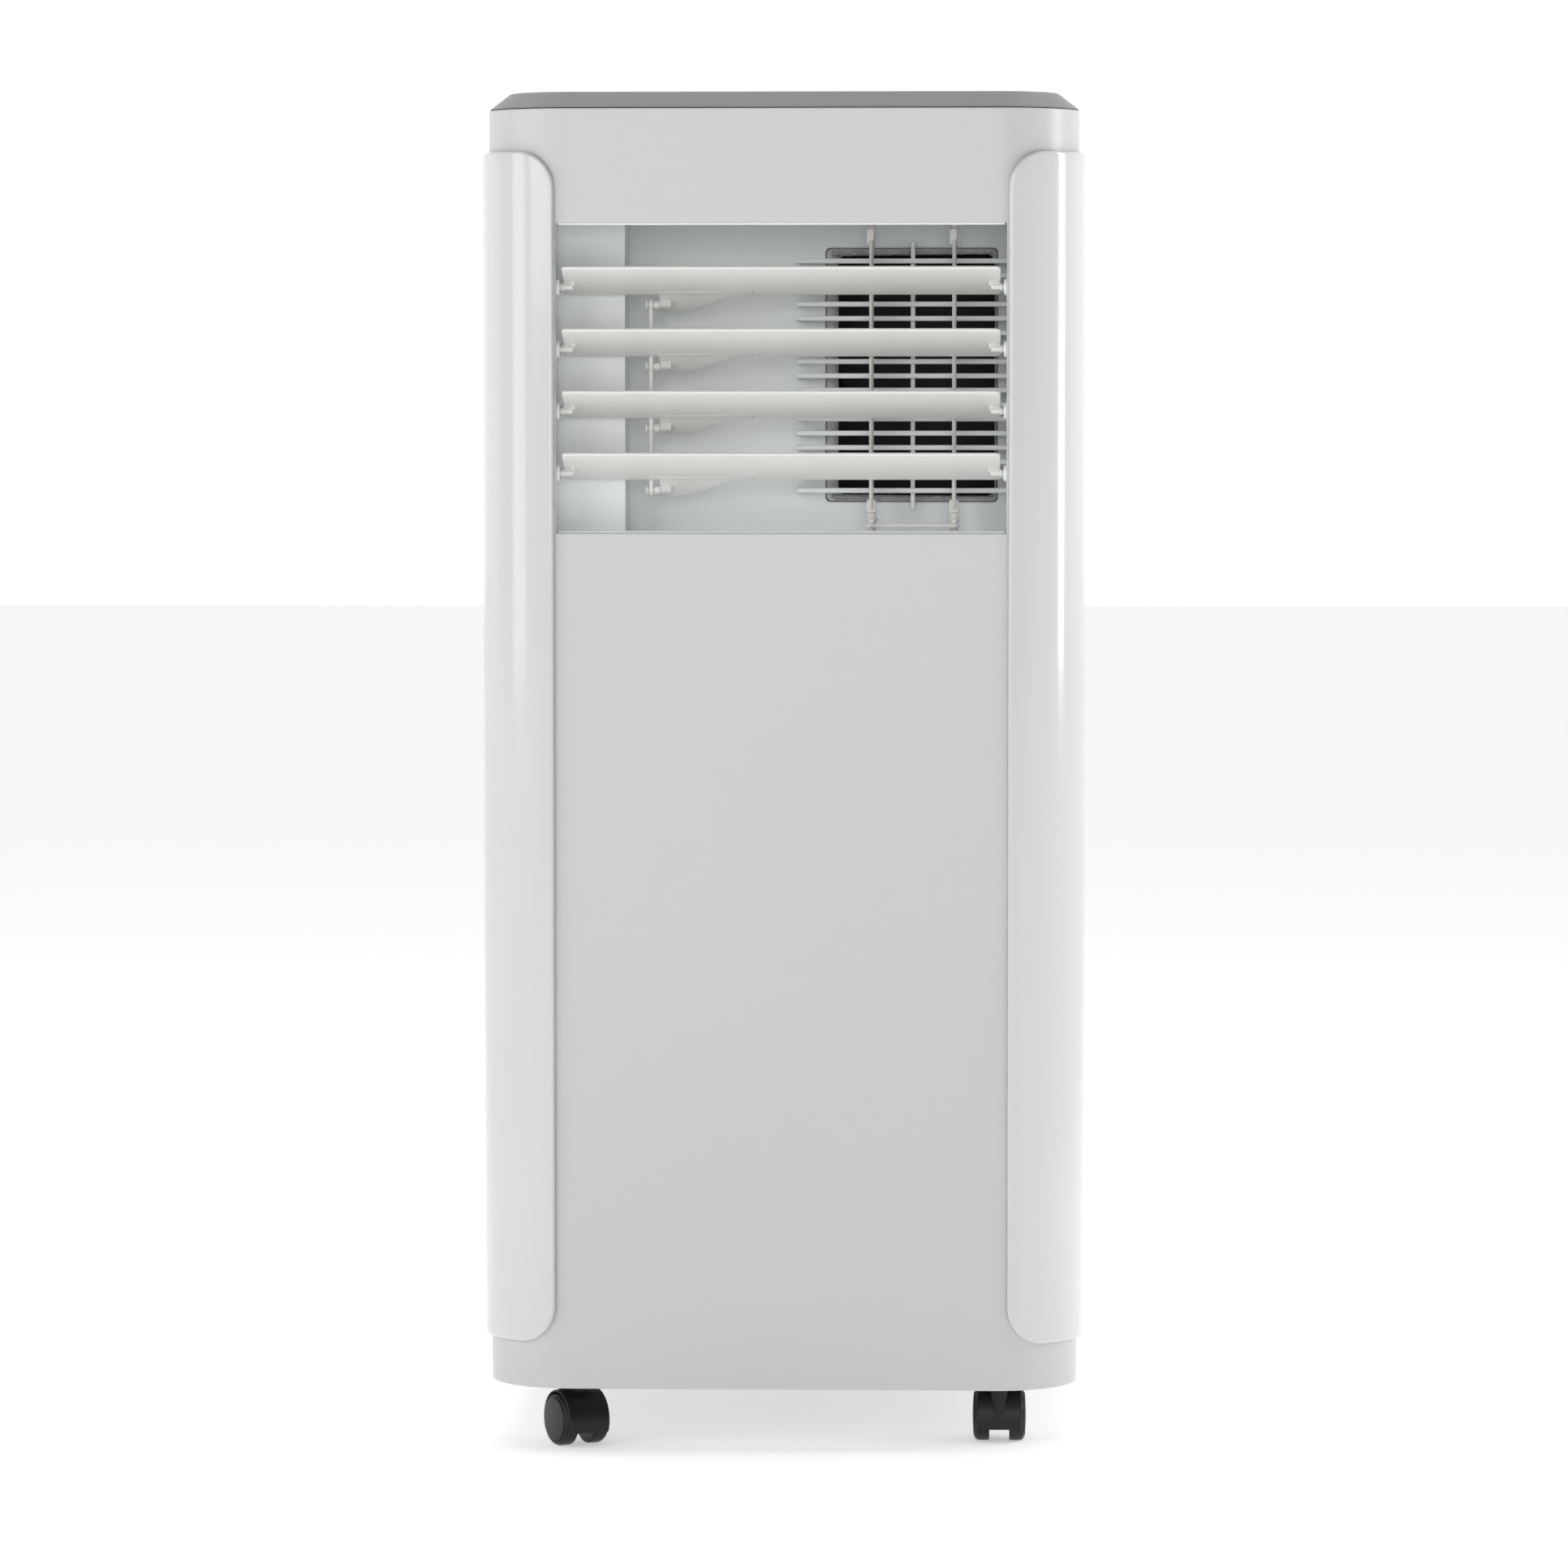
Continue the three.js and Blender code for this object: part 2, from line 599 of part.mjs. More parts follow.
// ---- vertical vanes ----
function vane(x) {
  const y = fromFront(vaneDepth);
  const half = vaneThickness / 2;
  const section = new THREE.Shape([
    new THREE.Vector2(x - half, y - vaneChord / 2 + 1), new THREE.Vector2(x, y - vaneChord / 2),
    new THREE.Vector2(x + half, y - vaneChord / 2 + 1), new THREE.Vector2(x + half, y + vaneChord / 2 - 2),
    new THREE.Vector2(x, y + vaneChord / 2), new THREE.Vector2(x - half, y + vaneChord / 2 - 2)]);
  const crankTop = vaneLinkHeight + vaneLinkThickness / 2 + gap;
  return joined([
    extrudeZ(section, vaneBottom, vaneTop),
    cylinderZ(vaneHubRadius, x, y, vaneTop - 1, recessTop + recessWall, 12),
    cylinderZ(vaneHubRadius, x, y, recessBottom - recessWall, vaneBottom + 1, 12),
    box(x - vaneCrankHalf, x + vaneCrankHalf, y - vaneCrank - vaneCrankHalf, y,
      crankTop, crankTop + vaneCrankThickness),
    cylinderZ(vanePinRadius, x, y - vaneCrank,
      vaneLinkHeight - vaneLinkThickness / 2 - 0.8, crankTop + 1, 12),
  ]);
}

function vaneLink() {
  const y = fromFront(vaneDepth) - vaneCrank;
  const [z0, z1] = [vaneLinkHeight - vaneLinkThickness / 2, vaneLinkHeight + vaneLinkThickness / 2];
  let bar = box(vaneX[0], vaneX[1], y - vaneLinkHalf, y + vaneLinkHalf, z0, z1);
  for (const x of vaneX) {
    bar = bar.add(cylinderZ(vaneEyeRadius, x, y, z0, z1, 14));
    bar = bar.subtract(cylinderZ(vanePinRadius + gap, x, y, z0 - 1, z1 + 1, 12));
  }
  return bar;
}

function outletGrille() {
  const front = fromFront(ribFront);
  const back = fromFront(recessDepth) - gap;
  const pieces = [];
  for (let i = 0; i < ribCount; i += 1) {
    const z = topRibHeight - i * ribPitch;
    pieces.push(box(ribLeft, recessHalf - gap, front, front + ribDepth,
      z - ribHeight / 2, z + ribHeight / 2));
    pieces.push(box(ribLeft, ribLeft + ribLeg, front, back, z - ribHeight / 2, z + ribHeight / 2));
  }
  const [low, high] = [topRibHeight - ribCount * ribPitch - mullionBelow, topRibHeight + mullionAbove];
  pieces.push(box(mullionX - mullionWidth / 2, mullionX + mullionWidth / 2,
    front + ribDepth - 1, back, low, high));
  return joined(pieces);
}

function swingMotor() {
  const y = fromFront(motorCoverDepth + recessWall);
  const x = -recessHalf + (motorCoverWidth - recessWall) / 2;
  const z = pivotHeights[louvreCount - 1];
  const back = y + swingMotorDepth;
  return cylinderY(swingMotorRadius, x, z, y + gap, back).add(
    cylinderY(swingShaft.radius, x, z, back - 1, back + swingShaft.length, 12));
}

// ---- rear pieces ----
function filterCassette(intake) {
  const half = intakeWidth / 2 - cassetteClearance;
  const [low, high] = [intake.bottom + cassetteClearance, intake.top - cassetteClearance];
  const frame = box(-half, half, halfDepth - cassetteDepth, halfDepth + 1, low, high);
  const lip = box(-half - cassetteLip, half + cassetteLip, halfDepth + gap, halfDepth + cassetteLipTop,
    low - cassetteLip, high + cassetteLip);
  let cassette = frame.add(lip);
  const room = high - low - 12;
  const count = Math.floor(room / slotPitch);
  const first = (low + high) / 2 - ((count - 1) * slotPitch) / 2;
  for (let i = 0; i < count; i += 1) {
    const z = first + i * slotPitch;
    for (const side of [-1, 1]) {
      const [a, b] = [side * cassetteMullion, side * (half - cassetteRim)];
      cassette = cassette.subtract(box(Math.min(a, b), Math.max(a, b), halfDepth - cassetteDepth - 1,
        halfDepth + 4, z - slotHeight / 2, z + slotHeight / 2));
    }
  }
  return cassette;
}

function exhaustCollar() {
  const [x, z] = [exhaustX, exhaustHeight];
  const tube = cylinderY(exhaustRadius, x, z, ductFront, halfDepth + rearProud, 24);
  const flange = cylinderY(exhaustRadius + flangeReach, x, z, halfDepth + gap, halfDepth + flangeTop, 24);
  const bore = cylinderY(exhaustRadius - exhaustWall, x, z, ductFront - 1, halfDepth + rearProud + 1, 24);
  return tube.add(flange).subtract(bore);
}

function cordGland() {
  const shank = cylinderY(glandRadius, glandX, glandHeight, halfDepth - 10, halfDepth + rearProud, 16);
  const flange = cylinderY(glandRadius + 3, glandX, glandHeight, halfDepth + gap, halfDepth + flangeTop, 16);
  const cordHole = cylinderY(cordHoleRadius, glandX, glandHeight, halfDepth - 12, halfDepth + 8, 12);
  return shank.add(flange).subtract(cordHole);
}

// Where a drain plug's shank passes the rim of the pan or tray that it empties.
function drainHole(height) {
  const spread = drainRadius + gap;
  return box(drainX - spread, drainX + spread, halfDepth - 20, halfDepth, height - spread, height + spread);
}

function drainPlug(height) {
  const shank = cylinderY(drainRadius, drainX, height, halfDepth - 9, halfDepth + 1, 16);
  const head = cylinderY(drainRadius + 2.5, drainX, height, halfDepth + gap, halfDepth + rearProud - 1, 16);
  const tab = box(drainX - 1.2, drainX + 1.2, halfDepth + 1, halfDepth + rearProud,
    height - drainRadius, height + drainRadius);
  return joined([shank, head, tab]);
}

// ---- base and casters ----
const casterY = halfDepth - casterInset;
const casterPlaces = {
  front_left: [-casterX, -casterY],
  front_right: [casterX, -casterY],
  rear_left: [-casterX, casterY],
  rear_right: [casterX, casterY],
};

function basePan() {
  const floor = bodySlab(wall + gap, panBottom, panTop);
  const rim = bodyRing(wall + gap, 2, panBottom, panTop + panRim);
  let pan = floor.add(rim).subtract(drainHole(lowerDrainHeight));
  for (const [x, y] of Object.values(casterPlaces)) {
    pan = pan.add(cylinderZ(stemRadius + socketWall, x, y, panBottom, socketTop, 12));
    pan = pan.subtract(cylinderZ(stemRadius + pinClearance, x, y, panBottom - 1, socketTop + 1, 12));
  }
  return pan;
}

// A hood in its own frame: the stem stands at the origin, the wheels trail towards +Y.
function casterHood() {
  const [y, z] = [casterTrail, wheelRadius];
  const drum = cylinderX(hoodRadius, y, z, -hoodHalfWidth, hoodHalfWidth, 20);
  const boss = cylinderZ(stemRadius + bossWall, 0, 0, wheelRadius, panBottom - 3.2, 16);
  const stem = cylinderZ(stemRadius, 0, 0, panBottom - 8, stemTop, 12);
  const below = box(-20, 20, -20, 40, -5, hoodClearance);
  let hood = drum.add(boss).subtract(below);
  const web = wheelInner - 0.4;
  for (const side of [-1, 1]) {
    const [a, b] = [side * web, side * (hoodHalfWidth + 1)];
    hood = hood.subtract(cylinderX(wheelRadius + wheelClearance, y, z, Math.min(a, b), Math.max(a, b), 20));
  }
  return hood.subtract(cylinderX(axleRadius + pinClearance, y, z, -web - 1, web + 1, 12)).add(stem);
}

function casterWheels() {
  const half = [
    [axleRadius, 0], [axleRadius, wheelInner], [wheelRadius, wheelInner], [wheelRadius, wheelOuter - 3],
    [wheelRadius - 1.4, wheelOuter - 1.4], [wheelRadius - 5, wheelOuter - 0.4], [0, wheelOuter]];
  const mirrored = half.slice(1).reverse().map(([r, x]) => [r, -x]);
  const profile = [...mirrored, ...half.slice(1)].map(([r, x]) => new THREE.Vector2(r, x));
  const geometry = new THREE.LatheGeometry(profile, 18);
  geometry.rotateZ(-Math.PI / 2);
  geometry.translate(0, casterTrail, wheelRadius);
  return solidOf(geometry);
}

// ---- machinery ----
function scrollShape(x, z, radius, duct, inset) {
  const disc = cylinderY(radius - inset, x, z, 0, 1, 28);
  const side = box(x, duct.right - inset, 0, 1, duct.bottom + inset, duct.top - inset);
  return disc.add(side);
}

// A blower housing: a drum that opens into a duct at its right. One flat side has the round
// inlet and the other has the mouth.
function blowerScroll(place) {
  const { x, z, radius, duct, y0, y1, inletAtRear } = place;
  const thick = blowerWall;
  const stretch = (solid, from, to) => solid.scale([1, to - from, 1]).translate([0, from, 0]);
  const outside = stretch(scrollShape(x, z, radius, duct, 0), y0, y1);
  const room = stretch(scrollShape(x, z, radius, duct, thick), y0 + thick, y1 - thick);
  const rear = [y1 - thick - 1, y1 + 1];
  const front = [y0 - 1, y0 + thick + 1];
  const inlet = cylinderY(blowerRadius - 8, x, z, ...(inletAtRear ? rear : front), 32);
  return outside.subtract(room).subtract(inlet).subtract(place.mouth(...(inletAtRear ? front : rear)));
}

function blowerWheel(place) {
  const { x, z, y0, y1, inletAtRear } = place;
  const [a, b] = [y0 + blowerPlay, y1 - blowerPlay];
  const mid = inletAtRear ? a + 30 : b - 33;
  const ring = (from, to) => cylinderY(blowerRadius, x, z, from, to, 16).subtract(
    cylinderY(blowerRadius - 9, x, z, from - 1, to + 1, 16));
  const hub = cylinderY(blowerRadius - 1, x, z, mid, mid + hubThickness, 16);
  const pieces = [ring(a, a + 2.5), ring(b - 2.5, b), hub];
  for (let i = 0; i < bladeCount; i += 1) {
    const blade = box(-0.6, 0.6, a + 1, b - 1, blowerRadius - 8.5, blowerRadius - 0.5);
    pieces.push(blade.rotate([0, (360 / bladeCount) * i, 0]).translate([x, 0, z]));
  }
  return joined(pieces).subtract(
    cylinderY(blowerShaft.radius + pinClearance, x, z, mid - 1, mid + hubThickness + 1, 12));
}

function blowerMotor(place) {
  const { x, z, y0, y1, inletAtRear } = place;
  const [start, seat] = [blowerMotorLength - 1, blowerWall + gap];
  const can = (from, to) => cylinderY(blowerMotorRadius, x, z, from, to);
  const shaft = (from, to) => cylinderY(blowerShaft.radius, x, z, from, to, 12);
  if (inletAtRear) {
    return can(y0 + seat, y0 + blowerMotorLength).add(shaft(y0 + start, y0 + blowerShaft.length));
  }
  return can(y1 - blowerMotorLength, y1 - seat).add(shaft(y1 - blowerShaft.length, y1 - start));
}

const outletBlower = {
  x: mouthLeft - 51, z: windowTop - 84, radius: 78,
  duct: { right: mouthRight + 3, bottom: mouthBottom - 4.2, top: mouthTop + 3.5 },
  y0: fromFront(recessDepth + recessWall) + gap, y1: -12, inletAtRear: true,
  mouth: (from, to) => extrudeY(mouthShape(0), from, to, 3),
};
const exhaustBlower = {
  x: 110 - halfWidth, z: exhaustHeight - 15, radius: 80,
  duct: { right: exhaustX + exhaustRadius + 6, bottom: exhaustHeight - exhaustRadius - 3,
    top: exhaustHeight + exhaustRadius + 2 },
  y0: 2, y1: ductFront - gap, inletAtRear: false,
  mouth: (from, to) => cylinderY(exhaustRadius - exhaustWall, exhaustX, exhaustHeight, from, to, 32),
};

function finnedCoil({ bottom, top }) {
  const half = coil.width / 2;
  const pack = box(-half, half, coil.front, coil.back, bottom, top);
  const pieces = [pack];
  const end = 12;
  const rows = Math.floor((top - bottom - 2 * end) / coil.bendPitch);
  for (let i = 0; i <= rows; i += 1) {
    const z = bottom + end + i * coil.bendPitch;
    pieces.push(cylinderX(coil.tube, coil.front + 11, z, half - 1, half + 6, 8));
    pieces.push(cylinderX(coil.tube, coil.back - 11, z, half - 1, half + 6, 8));
    pieces.push(box(half + 2, half + 6, coil.front + 11, coil.back - 11, z - 3, z + 3));
  }
  return joined(pieces);
}

function tray() {
  const holes = box(-coil.width / 2 - 27, -coil.width / 2 + 21, coil.front + 4, coil.back - 4,
    trayHeight - 1, trayHeight + 8);
  const plate = bodySlab(wall + gap + 0.3, trayHeight, trayHeight + 2.5);
  const rim = bodyRing(wall + gap + 0.3, 2, trayHeight, trayHeight + 8);
  return plate.add(rim).subtract(holes).subtract(drainHole(upperDrainHeight));
}

function pipe(points, radius, steps) {
  const places = points.map((place) => new THREE.Vector3(...place));
  const path = new THREE.CatmullRomCurve3(places, false, 'catmullrom', 0.3);
  const section = new THREE.Shape();
  section.absarc(0, 0, radius, 0, 2 * Math.PI, false);
  const geometry = new THREE.ExtrudeGeometry(section,
    { steps, extrudePath: path, bevelEnabled: false, curveSegments: 3 });
  return solidOf(geometry);
}

const feetPlaces = foot.angles.map((angle) => [
  compressor.x + foot.circle * Math.cos(rad(angle)), compressor.y + foot.circle * Math.sin(rad(angle))]);

function compressorBody() {
  const { x, y, radius, bottom, top } = compressor;
  const profile = [[0, bottom], [radius - 12, bottom], [radius, bottom + 12], [radius, top - 18],
    [radius - 16, top - 5], [0, top]].map(([r, z]) => new THREE.Vector2(r, z));
  const geometry = new THREE.LatheGeometry(profile, 20);
  geometry.rotateX(Math.PI / 2);
  geometry.translate(x, y, 0);
  const body = solidOf(geometry);
  const lugs = feetPlaces.map(([fx, fy]) => {
    const lug = box(-9, radius - 10, -11, 11, bottom + 1, bottom + 5);
    return lug.rotate([0, 0, THREE.MathUtils.radToDeg(Math.atan2(y - fy, x - fx))]).translate([fx, fy, 0])
      .subtract(cylinderZ(foot.hole, fx, fy, bottom - 1, bottom + 6, 12));
  });
  return joined([body, ...lugs]);
}

function compressorFoot([x, y]) {
  const grommet = cylinderZ(foot.radius, x, y, panTop + gap, compressor.bottom + 1 - gap, 16);
  return grommet.add(cylinderZ(foot.studRadius, x, y, panTop + 2, compressor.bottom + 9, 12));
}

function accumulatorCan() {
  const { x, y, radius, bottom, top } = accumulator;
  return cylinderZ(radius, x, y, bottom, top, 20).add(
    cylinderZ(accumulator.neck, x, y, top - 1, top + accumulator.neck, 12));
}

// ---- assembly ----
addPart('front_panel', frontPanel(), whitePlastic);
addPart('rear_panel', rearPanel(), whitePlastic);
addPart('top_cover', topCover(), greyPlastic);
addPart('left_pillar', pillar(-1), glossWhite);
addPart('right_pillar', pillar(1), glossWhite);
addPart('left_grip_cup', gripCup(-1), greyPlastic);
addPart('right_grip_cup', gripCup(1), greyPlastic);

addPart('control_panel', controlPanel(), blackPlastic);
addPart('display_lens', box(-lensWidth / 2, lensWidth / 2, panelY - lensDepth / 2, panelY + lensDepth / 2,
  panelTopHeight - panelThickness, panelTopHeight), darkLens);
const boardTop = panelTopHeight - panelThickness - boardDrop;
const [boardHalf, boardReach] = [panelWidth / 2 - boardInset.x, panelDepth / 2 - boardInset.y];
addPart('control_board', box(-boardHalf, boardHalf, panelY - boardReach, panelY + boardReach,
  boardTop - boardThickness, boardTop), boardGreen);
buttonNames.forEach((name, i) => {
  const underPanel = panelTopHeight - panelThickness - gap;
  const cap = cylinderZ(buttonRadius, buttonX(i), panelY, underPanel - 1, panelTopHeight + buttonProud, 16);
  const flange = cylinderZ(buttonRadius + buttonFlange, buttonX(i), panelY, underPanel - 1.6, underPanel, 16);
  addPart(`${name}_button`, cap.add(flange), glossWhite);
});

addPart('outlet_recess', outletRecess(), whitePlastic);
addPart('outlet_grille', outletGrille(), whitePlastic);
pivotHeights.forEach((height, i) => addPart(`louvre_${i + 1}`, louvre(height), warmWhite));
addPart('louvre_link', louvreLink(), warmWhite);
addPart('left_vane', vane(vaneX[0]), warmWhite);
addPart('right_vane', vane(vaneX[1]), warmWhite);
addPart('vane_link', vaneLink(), warmWhite);
addPart('swing_motor', swingMotor(), zincSteel);

addPart('upper_filter_cassette', filterCassette(upperIntake), whitePlastic);
addPart('lower_filter_cassette', filterCassette(lowerIntake), whitePlastic);
addPart('exhaust_collar', exhaustCollar(), whitePlastic);
addPart('cord_gland', cordGland(), rubber);
addPart('upper_drain_plug', drainPlug(upperDrainHeight), rubber);
addPart('lower_drain_plug', drainPlug(lowerDrainHeight), rubber);

addPart('base_pan', basePan(), zincSteel);
for (const [place, [x, y]] of Object.entries(casterPlaces)) {
  const caster = new THREE.Group();
  caster.position.set(x, y, 0);
  caster.rotation.z = rad(casterTurns[place]);
  addPart(`${place}_caster_hood`, casterHood(), blackPlastic, caster);
  addPart(`${place}_caster_wheels`, casterWheels(), blackPlastic, caster);
  parts.add(caster);
}

addPart('outlet_blower_scroll', blowerScroll(outletBlower), blackPlastic);
addPart('outlet_blower_wheel', blowerWheel(outletBlower), blackPlastic);
addPart('outlet_blower_motor', blowerMotor(outletBlower), zincSteel);
addPart('exhaust_blower_scroll', blowerScroll(exhaustBlower), blackPlastic);
addPart('exhaust_blower_wheel', blowerWheel(exhaustBlower), blackPlastic);
addPart('exhaust_blower_motor', blowerMotor(exhaustBlower), zincSteel);
addPart('evaporator_coil', finnedCoil(evaporator), finMetal);
addPart('condenser_coil', finnedCoil(condenser), finMetal);
addPart('drip_tray', tray(), blackPlastic);
addPart('compressor', compressorBody(), blackPaint);
feetPlaces.forEach((place, i) => addPart(`compressor_foot_${i + 1}`, compressorFoot(place), rubber));
addPart('accumulator', accumulatorCan(), blackPaint);
const coilMiddle = (coil.front + coil.back) / 2 - 0.5;
const coilLeft = -coil.width / 2;
const fromCompressor = (dx) => compressor.x + dx;
addPart('discharge_pipe', pipe([
  [fromCompressor(17), compressor.y, compressor.top - 1 + gap], [fromCompressor(17), compressor.y, 228],
  [fromCompressor(44), 20, 234], [fromCompressor(50), coilMiddle - 37, 234],
  [fromCompressor(22), coilMiddle, 226], [fromCompressor(22), coilMiddle, condenser.top + gap],
], pipes.discharge, 22), copper);
addPart('suction_pipe', pipe([
  [coilLeft + 10, coilMiddle, evaporator.bottom - gap], [coilLeft + 10, coilMiddle, 300],
  [coilLeft + 10, coilMiddle - 5, 232], [coilLeft + 35, coilMiddle - 47, 206],
  [accumulator.x - 34, 20, 206], [accumulator.x - 6, accumulator.y + 6, 206],
  [accumulator.x, accumulator.y, accumulator.top + 18],
  [accumulator.x, accumulator.y, accumulator.top + accumulator.neck + gap],
], pipes.suction, 30), copper);
addPart('capillary_tube', pipe([
  [coilLeft - gap - 4, coilMiddle, 150], [coilLeft - 13, coilMiddle, 160], [coilLeft - 17, coilMiddle, 300],
  [coilLeft - 15, coilMiddle, evaporator.bottom + 4],
  [coilLeft - gap - 3, coilMiddle, evaporator.bottom + 14],
], pipes.capillary, 18), copper);
addPart('control_box', box(controlBox.left, controlBox.right, controlBox.front, controlBox.back,
  controlBox.bottom, controlBox.top), zincSteel);

export default parts;
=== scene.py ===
import json
import math
import bpy
import numpy as np
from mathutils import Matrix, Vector


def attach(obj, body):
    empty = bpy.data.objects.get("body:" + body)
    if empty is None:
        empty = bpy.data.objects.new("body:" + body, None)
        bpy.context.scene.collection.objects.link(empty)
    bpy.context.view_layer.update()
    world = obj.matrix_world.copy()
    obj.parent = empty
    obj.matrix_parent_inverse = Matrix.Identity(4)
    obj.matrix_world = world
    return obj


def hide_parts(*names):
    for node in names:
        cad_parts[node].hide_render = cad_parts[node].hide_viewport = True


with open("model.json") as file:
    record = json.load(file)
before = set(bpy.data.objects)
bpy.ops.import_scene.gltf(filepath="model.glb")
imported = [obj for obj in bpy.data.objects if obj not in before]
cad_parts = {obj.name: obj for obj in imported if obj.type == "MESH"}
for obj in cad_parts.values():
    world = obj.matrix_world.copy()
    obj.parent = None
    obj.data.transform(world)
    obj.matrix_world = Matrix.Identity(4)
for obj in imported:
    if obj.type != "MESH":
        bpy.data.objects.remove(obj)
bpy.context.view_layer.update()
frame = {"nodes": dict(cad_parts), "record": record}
nodes = frame["nodes"]
mm = 0.001
print("frame loaded")

# ---- the picture: camera, floor and soft studio light ----
picture = {
    "lens": 148.5,
    "place": (0.1277, -3.4606, 0.535),
    "heading": 2.19,  # degrees the view turns towards -X
    "pitch": -3.33,
    "floorColour": (0.93, 0.93, 0.93),
    "floorGlow": 0.42,
    "skyFront": 0.16,
    "skyBack": 1.15,
    "skyTurn": (-0.05, 0.5),
}


def makeCamera():
    camera = bpy.data.objects.new("camera", bpy.data.cameras.new("camera"))
    bpy.context.scene.collection.objects.link(camera)
    camera.data.lens = picture["lens"]
    camera.data.sensor_width = 36
    camera.data.clip_end = 50
    camera.location = picture["place"]
    heading, pitch = math.radians(picture["heading"]), math.radians(picture["pitch"])
    level = math.cos(pitch)
    ahead = Vector((-math.sin(heading) * level, math.cos(heading) * level, math.sin(pitch)))
    camera.rotation_euler = ahead.to_track_quat("-Z", "Y").to_euler()
    bpy.context.scene.camera = camera


# ---- shader maths: a wire is one socket, and sums on wires add nodes ----
class Wire:
    def __init__(self, recipe, socket):
        self.recipe = recipe
        self.socket = socket

    def maths(self, operation, first, second):
        return self.recipe.node("ShaderNodeMath", {"operation": operation}, {0: first, 1: second})

    def __add__(self, other):
        return self.maths("ADD", self, other)

    def __radd__(self, other):
        return self.maths("ADD", other, self)

    def __sub__(self, other):
        return self.maths("SUBTRACT", self, other)

    def __rsub__(self, other):
        return self.maths("SUBTRACT", other, self)

    def __mul__(self, other):
        return self.maths("MULTIPLY", self, other)

    def __rmul__(self, other):
        return self.maths("MULTIPLY", other, self)

    def __truediv__(self, other):
        return self.maths("DIVIDE", self, other)

    def __mod__(self, other):
        return self.maths("FLOORED_MODULO", self, other)

    def __abs__(self):
        return self.maths("ABSOLUTE", self, 0.0)


class Recipe:
    def __init__(self, tree):
        self.tree = tree
        tree.nodes.clear()

    def node(self, kind, settings=None, inputs=None, output=0):
        made = self.tree.nodes.new(kind)
        for name, value in (settings or {}).items():
            if name == "stops":
                ramp = made.color_ramp
                while len(ramp.elements) < len(value):
                    ramp.elements.new(0.5)
                for stop, (place, shade) in zip(ramp.elements, value):
                    stop.position = place
                    stop.color = (shade, shade, shade, 1)
            else:
                setattr(made, name, value)
        for key, value in (inputs or {}).items():
            socket = made.inputs[key]
            if isinstance(value, Wire):
                self.tree.links.new(value.socket, socket)
            else:
                socket.default_value = value
        return Wire(self, made.outputs[output]) if len(made.outputs) else None

    def objectCoords(self):
        return self.node("ShaderNodeTexCoord", output="Object")

    def axis(self, coords, name):
        return self.node("ShaderNodeSeparateXYZ", None, {0: coords}, output=name)

    def stretched(self, coords, scale):
        return self.node("ShaderNodeMapping", None, {"Vector": coords, "Scale": scale})

    def noise(self, coords, scale, detail=2.0, rough=0.5):
        return self.node("ShaderNodeTexNoise", None,
                         {"Vector": coords, "Scale": scale, "Detail": detail, "Roughness": rough})

    def ramp(self, value, stops):
        return self.node("ShaderNodeValToRGB", {"stops": stops}, {0: value})

    def mixColour(self, factor, first, second):
        return self.node("ShaderNodeMix", {"data_type": "RGBA"}, {0: factor, 6: first, 7: second}, output=2)

    def bump(self, height, distance):
        return self.node("ShaderNodeBump", None, {"Strength": 1.0, "Distance": distance, "Height": height})

    def surface(self, inputs):
        shader = self.node("ShaderNodeBsdfPrincipled", None, inputs)
        self.node("ShaderNodeOutputMaterial", None, {0: shader})
        return shader


def newFinish(name):
    material = bpy.data.materials.new(name)
    material.use_nodes = True
    return material, Recipe(material.node_tree)


def rgb(red, green, blue):
    return (red, green, blue, 1.0)


def shaded(colour, factor):
    return tuple(min(1.0, part * factor) for part in colour[:3]) + (1.0,)


# Moulded plastic: a clouded colour, a fine grain and slow waves in the surface, and uneven gloss.
def mouldedPlastic(name, look):
    material, recipe = newFinish(name)
    coords = recipe.objectCoords()
    cloud = recipe.noise(coords, look["cloudScale"], 3.0)
    grain = recipe.noise(coords, look["grainScale"], 2.0)
    wave = recipe.noise(coords, look["waveScale"], 1.0)
    dull, bright = shaded(look["colour"], 1 - look["cloud"]), shaded(look["colour"], 1 + look["cloud"])
    colour = recipe.mixColour(cloud, dull, bright)
    height = grain * look["grainDepth"] + wave * look["waveDepth"]
    rough = look["rough"] + (cloud - 0.5) * look["roughSpread"] + (grain - 0.5) * look["roughGrain"]
    recipe.surface({
        "Base Color": colour, "Roughness": rough, "Normal": recipe.bump(height, mm),
        "Specular IOR Level": look["gloss"], "Coat Weight": look["coat"], "Coat Roughness": look["coatRough"],
    })
    return material


plasticBase = {
    "cloudScale": 7.0, "cloud": 0.012, "grainScale": 1500.0, "grainDepth": 0.012,
    "waveScale": 24.0, "waveDepth": 0.05, "roughSpread": 0.06, "roughGrain": 0.05,
    "gloss": 0.5, "coat": 0.0, "coatRough": 0.1,
}
finishes = {}


def addPlastic(key, **changes):
    finishes[key] = mouldedPlastic(key, {**plasticBase, **changes})


